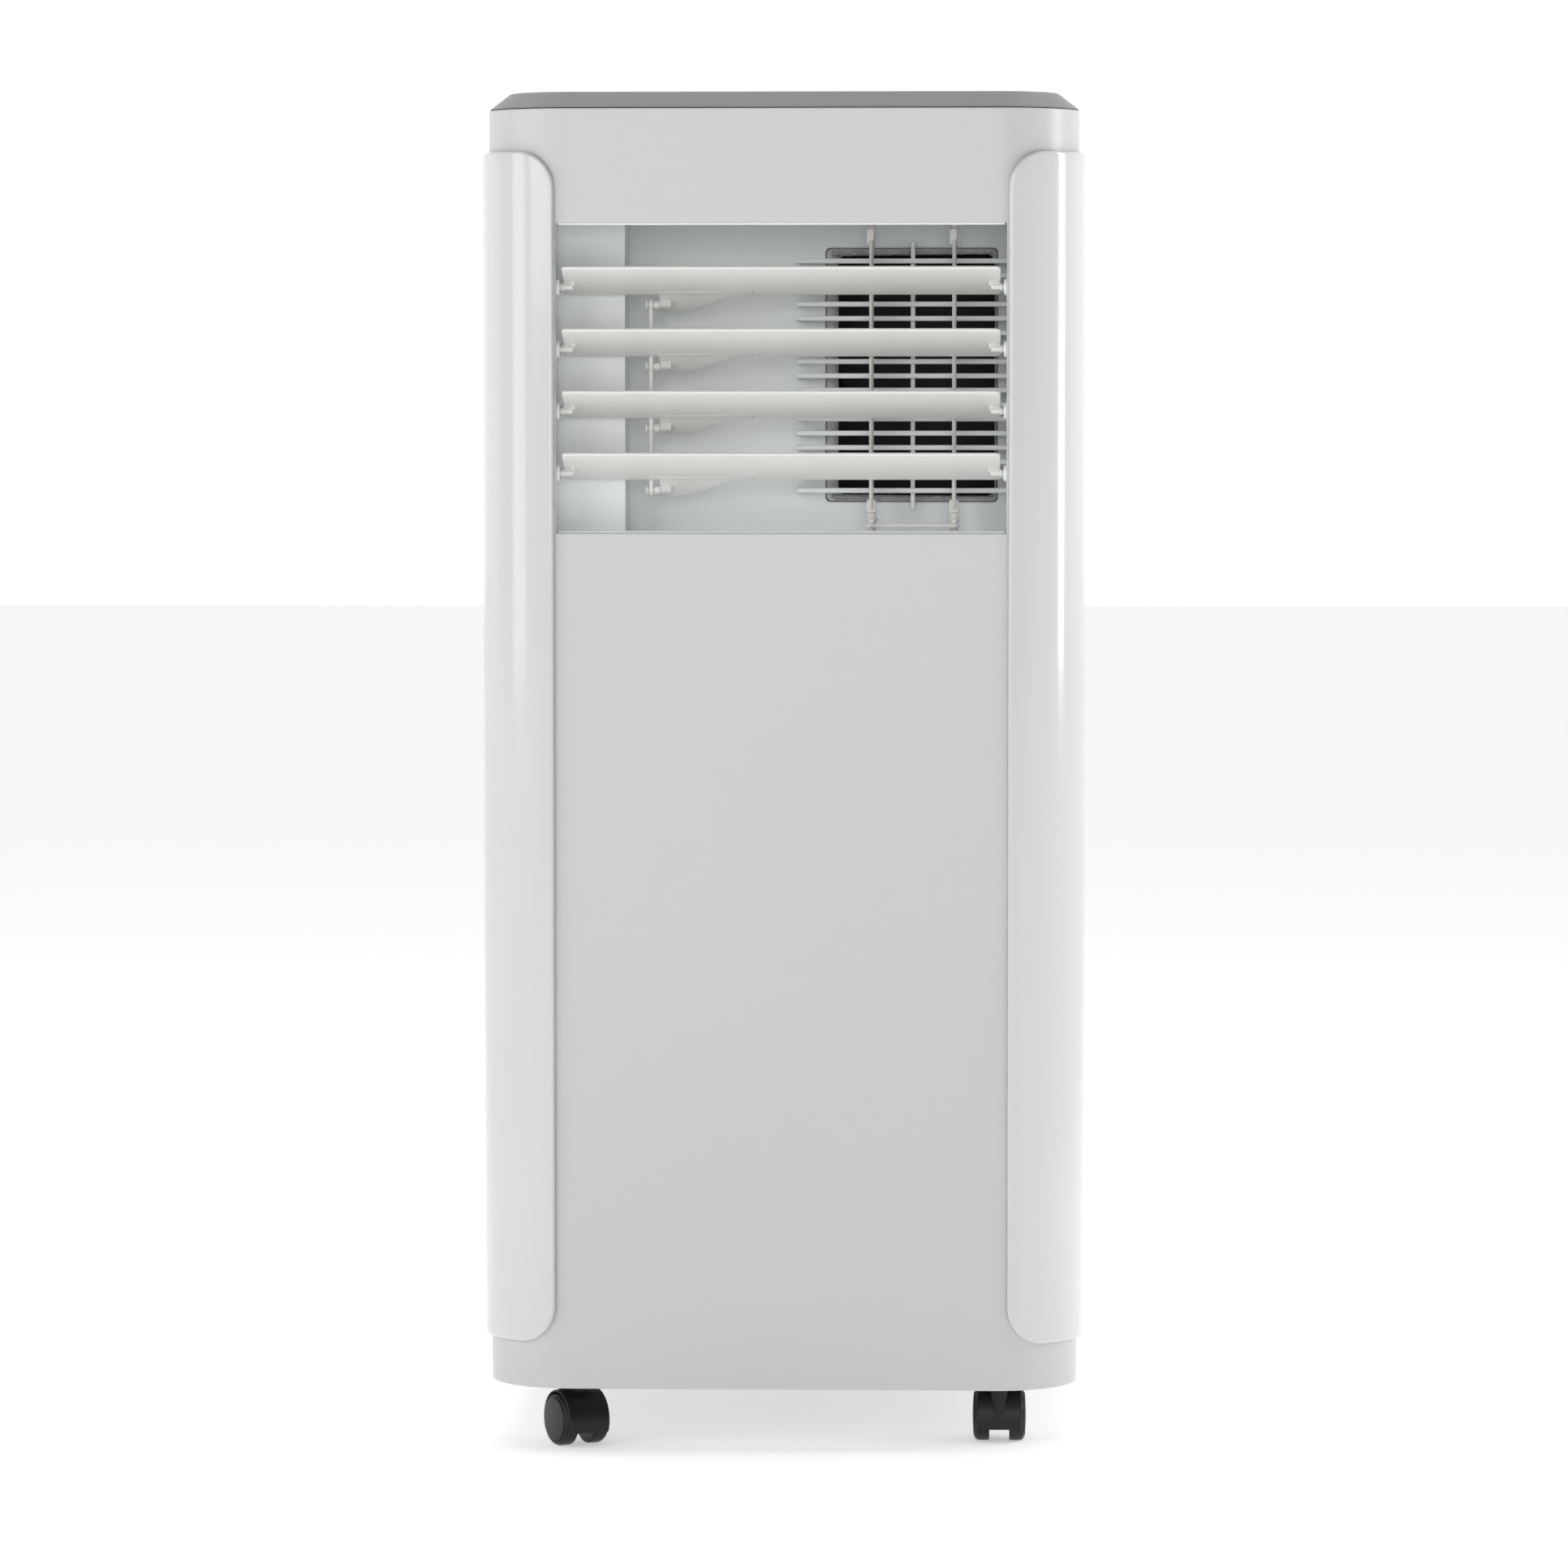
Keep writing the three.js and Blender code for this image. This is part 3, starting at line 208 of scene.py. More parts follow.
addPlastic("shellWhite", colour=rgb(0.575, 0.583, 0.585), rough=0.36)
addPlastic("pillarGloss", colour=rgb(0.64, 0.646, 0.646), rough=0.16, roughSpread=0.03, roughGrain=0.0,
           grainDepth=0.0, waveScale=30.0, waveDepth=0.04, coat=0.35, coatRough=0.06)
addPlastic("coverGrey", colour=rgb(0.245, 0.24, 0.232), rough=0.42, grainDepth=0.03)
addPlastic("vaneWhite", colour=rgb(0.76, 0.755, 0.73), rough=0.34)
addPlastic("recessWhite", colour=rgb(0.85, 0.875, 0.88), rough=0.42)
addPlastic("rimGrey", colour=rgb(0.66, 0.66, 0.65), rough=0.5, grainDepth=0.04)
addPlastic("casterBlack", colour=rgb(0.006, 0.006, 0.0065), rough=0.42, gloss=0.35,
           grainDepth=0.05, cloud=0.2, cloudScale=60.0)
addPlastic("panelBlack", colour=rgb(0.012, 0.012, 0.014), rough=0.22, grainDepth=0.01, cloud=0.1)
addPlastic("housingBlack", colour=rgb(0.008, 0.008, 0.009), rough=0.6, grainDepth=0.05, cloud=0.2)
addPlastic("buttonWhite", colour=rgb(0.80, 0.80, 0.80), rough=0.25, grainDepth=0.0)
addPlastic("printWhite", colour=rgb(0.72, 0.73, 0.74), rough=0.5, grainDepth=0.0)
addPlastic("rubberBlack", colour=rgb(0.018, 0.018, 0.018), rough=0.75, grainScale=900.0,
           grainDepth=0.12, cloud=0.25, cloudScale=90.0)
addPlastic("boardGreen", colour=rgb(0.015, 0.10, 0.04), rough=0.35, cloud=0.2, cloudScale=150.0, coat=0.4)


# Painted or bare sheet metal: a spangled or brushed colour and uneven gloss.
def sheetMetal(name, colour, rough, metallic, spangle, brushed):
    material, recipe = newFinish(name)
    coords = recipe.stretched(recipe.objectCoords(), brushed)
    cell = recipe.node("ShaderNodeTexVoronoi", None, {"Vector": coords, "Scale": spangle})
    cloud = recipe.noise(coords, spangle * 0.5, 3.0)
    colourWire = recipe.mixColour(cell * 0.5 + cloud * 0.5, shaded(colour, 0.82), shaded(colour, 1.12))
    recipe.surface({
        "Base Color": colourWire, "Roughness": rough + (cloud - 0.5) * 0.2, "Metallic": metallic,
        "Normal": recipe.bump(cloud * 0.03 + cell * 0.02, mm),
    })
    return material


# name: colour, roughness, metallic, spangle scale and brushing
metals = {
    "zincSheet": (rgb(0.48, 0.50, 0.52), 0.38, 0.9, 110.0, (1, 1, 1)),
    "motorMetal": (rgb(0.42, 0.43, 0.45), 0.36, 0.9, 160.0, (1, 0.2, 1)),
    "blackPaint": (rgb(0.012, 0.012, 0.013), 0.3, 0.0, 70.0, (1, 1, 1)),
    "copperTube": (rgb(0.72, 0.36, 0.20), 0.3, 1.0, 60.0, (1, 1, 1)),
    "screwSteel": (rgb(0.50, 0.51, 0.52), 0.3, 1.0, 500.0, (1, 1, 1)),
}
for name, values in metals.items():
    finishes[name] = sheetMetal(name, *values)


# the darker fin colour is painted shade in the gaps between the fins
fins = {"pitch": 1.8 * mm, "wander": 0.0006, "gapShade": rgb(0.10, 0.10, 0.11), "bright": rgb(0.66, 0.68, 0.70)}


# Fin pack: thin upright fins, bright on their edges, with painted shade in the gaps between them.
def finPack():
    material, recipe = newFinish("finAluminium")
    coords = recipe.objectCoords()
    across = recipe.axis(coords, "X")
    wobble = recipe.noise(coords, 90.0, 2.0)
    phase = ((across + wobble * fins["wander"]) / fins["pitch"]) % 1.0
    edge = abs(phase - 0.5) * 2.0
    # the dark end of this mix is painted shade between the fins; the bright end is the fins' own metal
    colour = recipe.mixColour(edge, fins["gapShade"], fins["bright"])
    recipe.surface({
        "Base Color": colour, "Roughness": 0.28 + wobble * 0.2, "Metallic": 0.85,
        "Normal": recipe.bump(edge, 0.4 * mm),
    })
    finishes["finAluminium"] = material


# the darkest colour here is painted shade in the mesh openings
net = {"pitch": 1.6 * mm, "edge": [(0.62, 0.0), (0.74, 1.0)],
       "openingShade": rgb(0.006, 0.006, 0.006), "thread": rgb(0.085, 0.09, 0.095)}


# Woven filter net: a square mesh of dark threads, with painted shade between them for the dark inside seen
# through the mesh openings.
def filterNet():
    material, recipe = newFinish("filterNet")
    coords = recipe.objectCoords()
    across, upright = (abs(((recipe.axis(coords, axis) / net["pitch"]) % 1.0) - 0.5) * 2.0 for axis in "XZ")
    thread = recipe.node("ShaderNodeMath", {"operation": "MAXIMUM"}, {0: across, 1: upright})
    # between the threads the colour is painted shade, standing for the openings
    colour = recipe.mixColour(recipe.ramp(thread, net["edge"]), net["openingShade"], net["thread"])
    recipe.surface({
        "Base Color": colour, "Roughness": 0.7 - thread * 0.2,
        "Normal": recipe.bump(thread, 0.3 * mm),
    })
    finishes["filterNet"] = material


# Open foam: pale, mottled and rough all over.
def foamStrip():
    material, recipe = newFinish("foamWhite")
    coords = recipe.objectCoords()
    cell = recipe.node("ShaderNodeTexVoronoi", None, {"Vector": coords, "Scale": 900.0})
    fluff = recipe.noise(coords, 420.0, 5.0, 0.7)
    colour = recipe.mixColour(fluff * 0.7 + cell * 0.3, rgb(0.30, 0.30, 0.31), rgb(0.86, 0.87, 0.88))
    recipe.surface({
        "Base Color": colour, "Roughness": 0.85 + fluff * 0.1,
        "Normal": recipe.bump(fluff + cell, 0.8 * mm),
    })
    finishes["foamWhite"] = material


# Smoked window: almost black, glossy, with a faint smear in the gloss.
def smokedLens():
    material, recipe = newFinish("lensDark")
    coords = recipe.objectCoords()
    smear = recipe.noise(recipe.stretched(coords, (30, 120, 30)), 6.0, 3.0)
    colour = recipe.mixColour(smear, rgb(0.006, 0.006, 0.009), rgb(0.012, 0.012, 0.016))
    recipe.surface({
        "Base Color": colour, "Roughness": 0.05 + smear * 0.06,
        "Coat Weight": 0.6, "Coat Roughness": 0.03, "Normal": recipe.bump(smear * 0.01, mm),
    })
    finishes["lensDark"] = material


finPack()
filterNet()
foamStrip()
smokedLens()
print("finishes made:", len(finishes))


# ---- shapes: each is (points, faces), in millimetres ----
def outward(points, faces):
    # six times the volume is the sum over fan triangles of a . (b x c); if it is negative the faces turn round
    quads = np.array([face for face in faces if len(face) == 4])
    total = 0.0
    groups = [quads] if len(quads) else []
    groups += [np.array([face]) for face in faces if len(face) != 4]
    for group in groups:
        a = points[group[:, 0]]
        for k in range(1, group.shape[1] - 1):
            total += np.sum(a * np.cross(points[group[:, k]], points[group[:, k + 1]]))
    return faces if total >= 0 else [face[::-1] for face in faces]


# Rings of equal count joined one to the next; the ends are capped, or the last ring joins the first.
def loft(rings, closed=False):
    rings = np.asarray(rings, float)
    count, size = rings.shape[0], rings.shape[1]
    row = np.arange(count if closed else count - 1)[:, None]
    col = np.arange(size)[None, :]
    ahead, right = (row + 1) % count, (col + 1) % size
    faces = np.stack([row * size + col, row * size + right, ahead * size + right, ahead * size + col], -1)
    faces = faces.reshape(-1, 4).tolist()
    if not closed:
        faces += [list(range(size))[::-1], list(range((count - 1) * size, count * size))]
    points = rings.reshape(-1, 3)
    return points, outward(points, faces)


# An outline's points moved inwards along the mean of each corner's two edge normals.
def shrunk(outline, distance):
    outline = np.asarray(outline, float)
    before = outline - np.roll(outline, 1, 0)
    after = np.roll(outline, -1, 0) - outline
    normals = [np.stack([-e[:, 1], e[:, 0]], 1) / np.maximum(np.linalg.norm(e, axis=1), 1e-9)[:, None]
               for e in (before, after)]
    mean = normals[0] + normals[1]
    mean /= np.maximum(np.sum(mean * mean, 1), 0.5)[:, None] / 2
    area = np.sum(outline[:, 0] * np.roll(outline[:, 1], -1) - np.roll(outline[:, 0], -1) * outline[:, 1])
    return outline + mean * (distance if area > 0 else -distance)


axisOrder = {"x": (2, 0, 1), "y": (0, 2, 1), "z": (0, 1, 2)}


# (a, b, h) to x, y, z: an outline in (y, z) stands along x, one in (x, z) along y, one in (x, y) along z.
def placed(a, b, h, axis):
    return np.stack(np.broadcast_arrays(a, b, h), -1)[..., axisOrder[axis]]


# A flat plate with rounded rims: over a quarter turn t the outline grows by edge * sin t as the height
# moves in by edge * (1 - cos t).
def plate(outline, low, high, axis, edge=0.4, steps=3):
    turn = np.linspace(0, math.pi / 2, steps + 1)
    insets = edge * (1 - np.sin(turn))
    heights = edge * (1 - np.cos(turn))
    levels = [(i, low + h) for i, h in zip(insets, heights)] if edge else [(0, low)]
    levels += [(i, high - h) for i, h in zip(insets[::-1], heights[::-1])] if edge else [(0, high)]
    rings = []
    for inset, height in levels:
        flat = shrunk(outline, inset)
        rings.append(placed(flat[:, 0], flat[:, 1], height, axis))
    return loft(rings)


# A profile of (radius, height) pairs turned about an axis through a centre.
def turned(profile, centre, axis, steps=32):
    profile = np.asarray(profile, float)
    angle = np.linspace(0, 2 * math.pi, steps, endpoint=False)
    a = np.outer(profile[:, 0], np.cos(angle))
    b = np.outer(profile[:, 0], np.sin(angle))
    rings = placed(a, b, np.repeat(profile[:, 1:2], steps, 1), axis)
    return loft(rings + np.asarray(centre, float))


# A rectangle's outline with quarter-circle corners.
def roundedRect(x0, x1, y0, y1, radius, steps=6):
    turn = np.linspace(0, math.pi / 2, steps + 1)
    corners = []
    for cx, cy, start in ((x1 - radius, y0 + radius, -90), (x1 - radius, y1 - radius, 0),
                          (x0 + radius, y1 - radius, 90), (x0 + radius, y0 + radius, 180)):
        a = turn + math.radians(start)
        corners.append(np.stack([cx + radius * np.cos(a), cy + radius * np.sin(a)], 1))
    return np.concatenate(corners)


def block(x0, x1, y0, y1, z0, z1, edge=0.3):
    corner = min(edge * 1.5, (x1 - x0) / 2.1, (y1 - y0) / 2.1)
    return plate(roundedRect(x0, x1, y0, y1, corner, 3), z0, z1, "z", min(edge, (z1 - z0) / 2.1))


def circle(x, y, radius, steps=32):
    a = np.linspace(0, 2 * math.pi, steps, endpoint=False)
    return np.stack([x + radius * np.cos(a), y + radius * np.sin(a)], 1)


def moved(shape, offset):
    return shape[0] + np.asarray(offset, float), shape[1]


def rotated(shape, degrees, axis="z", centre=(0, 0, 0)):
    c, s = math.cos(math.radians(degrees)), math.sin(math.radians(degrees))
    turn = {"x": [[1, 0, 0], [0, c, -s], [0, s, c]], "y": [[c, 0, s], [0, 1, 0], [-s, 0, c]],
            "z": [[c, -s, 0], [s, c, 0], [0, 0, 1]]}[axis]
    return (shape[0] - centre) @ np.array(turn).T + centre, shape[1]


def mirrored(shape):
    return shape[0] * (-1, 1, 1), [face[::-1] for face in shape[1]]


def bodyOf(node):
    return next(name for name, held in frame["record"]["behaviour"]["bodies"].items() if node in held)


def slotOf(node):
    return next(row["material_slot"] for row in frame["record"]["subparts"] if row["node"] == node)


# One piece from several shapes, riding with a body and standing for the CAD node it replaces.
def addPiece(name, shapes, finish, body=None, node=None, bevel=0.0, thick=0.0, weighted=True):
    points, faces, base = [], [], 0
    for shapePoints, shapeFaces in shapes:
        points.append(shapePoints)
        faces += [[index + base for index in face] for face in shapeFaces]
        base += len(shapePoints)
    mesh = bpy.data.meshes.new(name)
    mesh.from_pydata((np.concatenate(points) * mm).tolist(), [], faces)
    mesh.polygons.foreach_set("use_smooth", np.ones(len(mesh.polygons), bool))
    mesh.materials.append(finishes[finish])
    piece = bpy.data.objects.new(name, mesh)
    bpy.context.scene.collection.objects.link(piece)
    if thick:
        shell = piece.modifiers.new("thickness", "SOLIDIFY")
        shell.thickness, shell.offset, shell.use_even_offset = thick * mm, -1, True
    if bevel:
        addBevel(piece, bevel)
    if weighted:
        addWeighted(piece)
    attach(piece, body or bodyOf(node))
    if node:
        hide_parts(node)
    return piece


def addBevel(piece, width, segments=3):
    rim = piece.modifiers.new("rim", "BEVEL")
    rim.width, rim.segments = width * mm, segments
    rim.limit_method, rim.angle_limit = "ANGLE", math.radians(32)
    rim.harden_normals = False


def addWeighted(piece):
    weighted = piece.modifiers.new("weighted", "WEIGHTED_NORMAL")
    weighted.weight, weighted.keep_sharp = 60, False


# A CAD node that stays: its loose triangles are welded, its rims rounded, and its finish set.
def keepNode(name, finish, rim=0.3):
    node = nodes[name]
    weld = node.modifiers.new("weld", "WELD")
    weld.merge_threshold = 0.00001
    if rim:
        addBevel(node, rim, 2)
    node.data.polygons.foreach_set("use_smooth", np.ones(len(node.data.polygons), bool))
    addWeighted(node)
    node.data.materials.clear()
    node.data.materials.append(finishes[finish])


# ---- the casing: a rounded rectangle in plan ----
casing = {
    "halfWidth": 152.0, "halfDepth": 163.0, "corner": 43.0, "bottom": 31.0, "top": 687.2, "wall": 2.4,
    "seamFront": -67.15, "seamRear": -66.85, "rim": 0.7, "creaseHeight": 49.8, "creaseSlope": 0.012,
}
flat = casing["halfWidth"] - casing["corner"]  # half of the straight front
arc = casing["corner"] * math.pi / 2  # length round one corner


# Plan position at distance s from the middle of the front: straight, a quarter circle, then straight back.
def planPoint(s, out=0.0):
    side, d = np.sign(s), np.abs(s)
    turn = np.clip((d - flat) / casing["corner"], 0, math.pi / 2)
    straight = np.maximum(d - flat - arc, 0)
    radius = casing["corner"] + out
    x = np.minimum(d, flat) + radius * np.sin(turn)
    y = -casing["halfDepth"] + casing["corner"] - radius * np.cos(turn) + straight
    return side * x, y


def planDistance(y):
    return flat + arc + (y + casing["halfDepth"] - casing["corner"])


# Sorted grid lines from several runs, dropping any that crowd the fixed ones.
def gridLines(fixed, runs, clear=1.6):
    fixed = np.unique(np.round(np.asarray(fixed, float), 4))
    loose = np.concatenate([np.linspace(*run) for run in runs])
    far = np.min(np.abs(loose[:, None] - fixed[None, :]), 1) > clear
    return np.unique(np.round(np.concatenate([fixed, loose[far]]), 4))


def gridFaces(rows, cols, keep):
    row, col = np.meshgrid(np.arange(rows - 1), np.arange(cols - 1), indexing="ij")
    first = row * cols + col
    faces = np.stack([first, first + 1, first + cols + 1, first + cols], -1)
    return faces[keep].tolist()


def cellCentres(lines):
    return (lines[1:] + lines[:-1]) / 2


# Points that no face uses are dropped, and the faces are renumbered.
def usedOnly(points, faces):
    faces = np.asarray(faces)
    used = np.unique(faces)
    lookup = np.zeros(len(points), int)
    lookup[used] = np.arange(len(used))
    return points[used], lookup[faces].tolist()


window = {"half": 115.2, "bottom": 471.0, "top": 629.0, "lipHalf": 114, "lipBack": -158.4, "lipFront": -160.1,
          "lipShows": 1.1, "lipHidden": 1.5}


def makeFrontPanel():
    windowS = flat + casing["corner"] * math.asin((window["half"] - flat) / casing["corner"])
    seam = planDistance(casing["seamFront"])
    half = gridLines([0, windowS, seam], [(0, flat, 14), (flat, flat + arc, 27), (flat + arc, seam, 5)])
    s = np.unique(np.concatenate([-half, half]))
    levels = [casing["bottom"], casing["creaseHeight"], window["bottom"], window["top"], casing["top"]]
    z = gridLines(levels, [(casing["bottom"], casing["top"], 40)], 4.0)
    gridS, gridZ = np.meshgrid(s, z)
    inset = casing["creaseSlope"] * np.maximum(casing["creaseHeight"] - gridZ, 0)
    x, y = planPoint(gridS, -inset)
    points = np.stack([x, y, gridZ], -1).reshape(-1, 3)
    midS, midZ = np.meshgrid(cellCentres(s), cellCentres(z))
    opening = (np.abs(midS) < windowS) & (midZ > window["bottom"]) & (midZ < window["top"])
    shape = usedOnly(points, gridFaces(len(z), len(s), ~opening))
    addPiece("front_panel_shell", [shape], "shellWhite", node="front_panel",
             thick=casing["wall"], bevel=casing["rim"])
    # thin lips of the outlet recess, just inside the window's upper and lower edges
    lips, wide = [], window["lipHalf"]
    for edge, side in ((window["top"], 1), (window["bottom"], -1)):
        z0, z1 = sorted((edge - side * window["lipShows"], edge + side * window["lipHidden"]))
        lips.append(block(-wide, wide, window["lipFront"], window["lipBack"], z0, z1, 0.35))
    addPiece("window_lips", lips, "recessWhite", body=bodyOf("outlet_recess"))


rear = {
    "intakeHalf": 100.0, "upper": (446.0, 620.0), "lower": (70.0, 200.0),
    "exhaust": (44.0, 315.0, 62.8), "gland": (-98.0, 250.0, 8.4),
    "drains": [(-98.0, 424.0, 6.4), (-98.0, 46.0, 6.4)],
    # the square block of grid round each hole: half its side, its inner square's share of that, and its lines
    "exhaustBlock": (64.9, 0.9, 9), "glandBlock": (10.0, 0.7, 5), "drainBlock": (8.0, 0.7, 5),
    "holeGap": 0.4, "gripGap": 0.3,
}
grip = {"y": 40.0, "z": 575.0, "half": 46.0, "rise": 15.0, "depth": 20.0, "wall": 2.0, "corner": 3.0}


# Round each hole the grid inside a square block is pulled on to a circle: between the block's inner square
# and its rim a point is (1 - t) of the way round the circle and t of the way round the square, t from 0 to 1.
def makeRearPanel():
    seam = planDistance(-casing["seamRear"])
    gap = rear["gripGap"]
    gripS = [planDistance(-(grip["y"] + grip["half"] + gap)), planDistance(-(grip["y"] - grip["half"] - gap))]
    gripRise = grip["rise"] + gap
    holes = [(rear["exhaust"], *rear["exhaustBlock"]), (rear["gland"], *rear["glandBlock"])]
    holes += [(drain, *rear["drainBlock"]) for drain in rear["drains"]]
    fixedS = [-seam, seam, *gripS, *[-g for g in gripS], -rear["intakeHalf"], rear["intakeHalf"]]
    fixedZ = [casing["bottom"], casing["top"], *rear["upper"], *rear["lower"]]
    fixedZ += [grip["z"] - gripRise, grip["z"] + gripRise]
    for (x, height, radius), half, inner, count in holes:
        lines = half * np.concatenate([[-1.0], np.linspace(-inner, inner, count), [1.0]])
        fixedS += list(x + lines)
        fixedZ += list(height + lines)
    s = gridLines(fixedS, [(-seam, seam, 60), (flat, flat + arc, 20), (-flat - arc, -flat, 20)], 2.2)
    z = gridLines(fixedZ, [(casing["bottom"], casing["top"], 30)], 5.0)
    gridS, gridZ = np.meshgrid(s, z)
    midS, midZ = np.meshgrid(cellCentres(s), cellCentres(z))
    opening = np.zeros(midS.shape, bool)
    for low, high in (rear["upper"], rear["lower"]):
        opening |= (np.abs(midS) < rear["intakeHalf"]) & (midZ > low) & (midZ < high)
    opening |= (np.abs(midS) > gripS[0]) & (np.abs(midS) < gripS[1]) & (np.abs(midZ - grip["z"]) < gripRise)
    for (x, height, radius), half, inner, count in holes:
        opening |= np.maximum(np.abs(midS - x), np.abs(midZ - height)) < half * inner
        u, v = (gridS - x) / half, (gridZ - height) / half
        reach = np.maximum(np.abs(u), np.abs(v))
        t = (reach - inner) / (1 - inner)
        within = (t > -1e-6) & (t < 1)
        length, edge = np.maximum(np.hypot(u, v), 1e-9), np.maximum(reach, 1e-9)
        pull = (1 - t) * (radius + rear["holeGap"]) / length + t * half / edge
        gridS = np.where(within, x + pull * u, gridS)
        gridZ = np.where(within, height + pull * v, gridZ)
    x, y = planPoint(gridS)
    points = np.stack([x, -y, gridZ], -1).reshape(-1, 3)
    faces = gridFaces(len(z), len(s), ~opening)
    shape = usedOnly(points, [face[::-1] for face in faces])
    addPiece("rear_panel_shell", [shape], "shellWhite", node="rear_panel",
             thick=casing["wall"], bevel=casing["rim"])


# ---- top cover ----
cover = {"top": 696.0, "rise": 8.5, "inset": 11.0, "plate": 3.0, "skirt": 3.0, "edge": 0.9,
         "panelHole": (190.6, 50.6, -108.0, 8.3)}


def planRing(inset, steps=16):
    w, d = casing["halfWidth"] - inset, casing["halfDepth"] - inset
    return roundedRect(-w, w, -d, d, casing["corner"] - inset, steps)


def makeTopCover():
    top, low = cover["top"], cover["top"] - cover["rise"]
    width, depth, middle, corner = cover["panelHole"]
    hole = roundedRect(-width / 2, width / 2, middle - depth / 2, middle + depth / 2, corner, 16)
    rings = [
        (hole, top - cover["plate"]), (hole, top), (planRing(cover["inset"]), top), (planRing(0), low),
        (planRing(cover["skirt"]), low), (planRing(cover["skirt"] + cover["inset"]), top - cover["plate"]),
    ]
    rings = [np.concatenate([ring, np.full((len(ring), 1), height)], 1) for ring, height in rings]
    addPiece("top_cover_shell", [loft(rings, closed=True)], "coverGrey", node="top_cover", bevel=cover["edge"])


# ---- corner pillars: curved plates standing proud of the casing ----
pillar = {"proud": 3.5, "gap": 0.3, "reach": 35.6, "backY": -73.0, "bottom": 55.0, "top": 665.5,
          "corner": 19.0, "edge": 1.5}


def makePillar(side, node):
    inner = casing["halfWidth"] - pillar["reach"]
    edge, corner = pillar["edge"], pillar["corner"]
    outerRadius = casing["corner"] + pillar["proud"]
    start = flat + casing["corner"] * math.asin((inner + edge - flat) / outerRadius)
    end = planDistance(pillar["backY"] - edge)
    bend = flat + arc
    near = start + corner * (1 - np.cos(np.linspace(0, math.pi / 2, 14)))
    s = np.concatenate([near, np.linspace(near[-1], bend, 22)[1:], np.linspace(bend, end, 6)[1:]])
    x, _ = planPoint(s, pillar["proud"])
    reach = np.clip(x - inner, edge, corner)
    # the rounded inner corners: the height stops short of the end by c - sqrt(c^2 - (corner - reach)^2)
    rounded = corner - edge
    short = rounded - np.sqrt(np.maximum(rounded ** 2 - (corner - reach) ** 2, 0))
    low, high = pillar["bottom"] + edge + short, pillar["top"] - edge - short
    share = np.concatenate([np.linspace(0, 0.06, 7), np.linspace(0.06, 0.94, 22)[1:-1], np.linspace(0.94, 1, 7)])
    gridZ = low[None, :] + (high - low)[None, :] * share[:, None]
    gridS = np.repeat(s[None, :], len(share), 0)
    rows, cols = gridS.shape
    index = np.arange(rows * cols).reshape(rows, cols)
    loop = np.concatenate([index[0, :], index[1:, -1], index[-1, -2::-1], index[-2:0:-1, 0]])
    flatLoop = np.stack([gridS.ravel()[loop], gridZ.ravel()[loop]], 1)
    def onCasing(s, z, out):
        x, y = planPoint(s, out)
        return np.stack([side * x, y, z], -1)
    top = onCasing(gridS, gridZ, pillar["proud"]).reshape(-1, 3)
    faces = gridFaces(rows, cols, np.ones((rows - 1, cols - 1), bool))
    # the rim: the loop moves out by edge * sin t while the surface falls by edge * (1 - cos t)
    points, previous, base = [top], loop, rows * cols
    levels = [(edge * math.sin(t), pillar["proud"] - edge * (1 - math.cos(t)))
              for t in np.linspace(0, math.pi / 2, 6)[1:]]
    levels.append((edge, pillar["gap"]))
    for out, height in levels:
        spread = shrunk(flatLoop, -out)
        points.append(onCasing(spread[:, 0], spread[:, 1], height))
        current = base + np.arange(len(loop))
        faces += np.stack([np.roll(previous, -1), previous, current, np.roll(current, -1)], 1).tolist()
        previous, base = current, base + len(loop)
    # the back is hidden against the casing, and closes with the same grid
    back = onCasing(gridS, gridZ, pillar["gap"]).reshape(-1, 3)
    points.append(back)
    faces += [[i + base for i in face][::-1] for face in faces[:(rows - 1) * (cols - 1)]]
    current = loop + base
    faces += np.stack([np.roll(previous, -1), previous, current, np.roll(current, -1)], 1).tolist()
    points = np.concatenate(points)
    addPiece(node + "_cover", [(points, outward(points, faces))], "pillarGloss", node=node, weighted=False)


# ---- grip cups: a rounded tray let into each side ----
def makeGrip(side, node):
    outside = casing["halfWidth"]
    def ring(inset, x, corner):
        flat = roundedRect(grip["y"] - grip["half"] + inset, grip["y"] + grip["half"] - inset,
                           grip["z"] - grip["rise"] + inset, grip["z"] + grip["rise"] - inset, corner)
        return placed(flat[:, 0], flat[:, 1], np.full(len(flat), x), "x")
    wall = grip["wall"]
    floor = outside - grip["depth"]
    rings = [ring(0, floor, grip["corner"]), ring(0, outside - 0.4, grip["corner"]),
             ring(0.4, outside, 2.7), ring(wall - 0.5, outside, 2.2), ring(wall, outside - 0.6, 2.0)]
    rings += [ring(wall + 3 * (1 - math.cos(t)), floor + wall + 3 - 3 * math.sin(t), 2.0 + 1.5 * math.sin(t))
              for t in np.linspace(0, math.pi / 2, 5)]
    shape = loft(rings)
    addPiece(node + "_tray", [shape if side > 0 else mirrored(shape)], "coverGrey", node=node)


makeCamera()
makeFrontPanel()
makeRearPanel()
makeTopCover()
makePillar(-1, "left_pillar")
makePillar(1, "right_pillar")
makeGrip(-1, "left_grip_cup")
makeGrip(1, "right_grip_cup")
print("casing made")


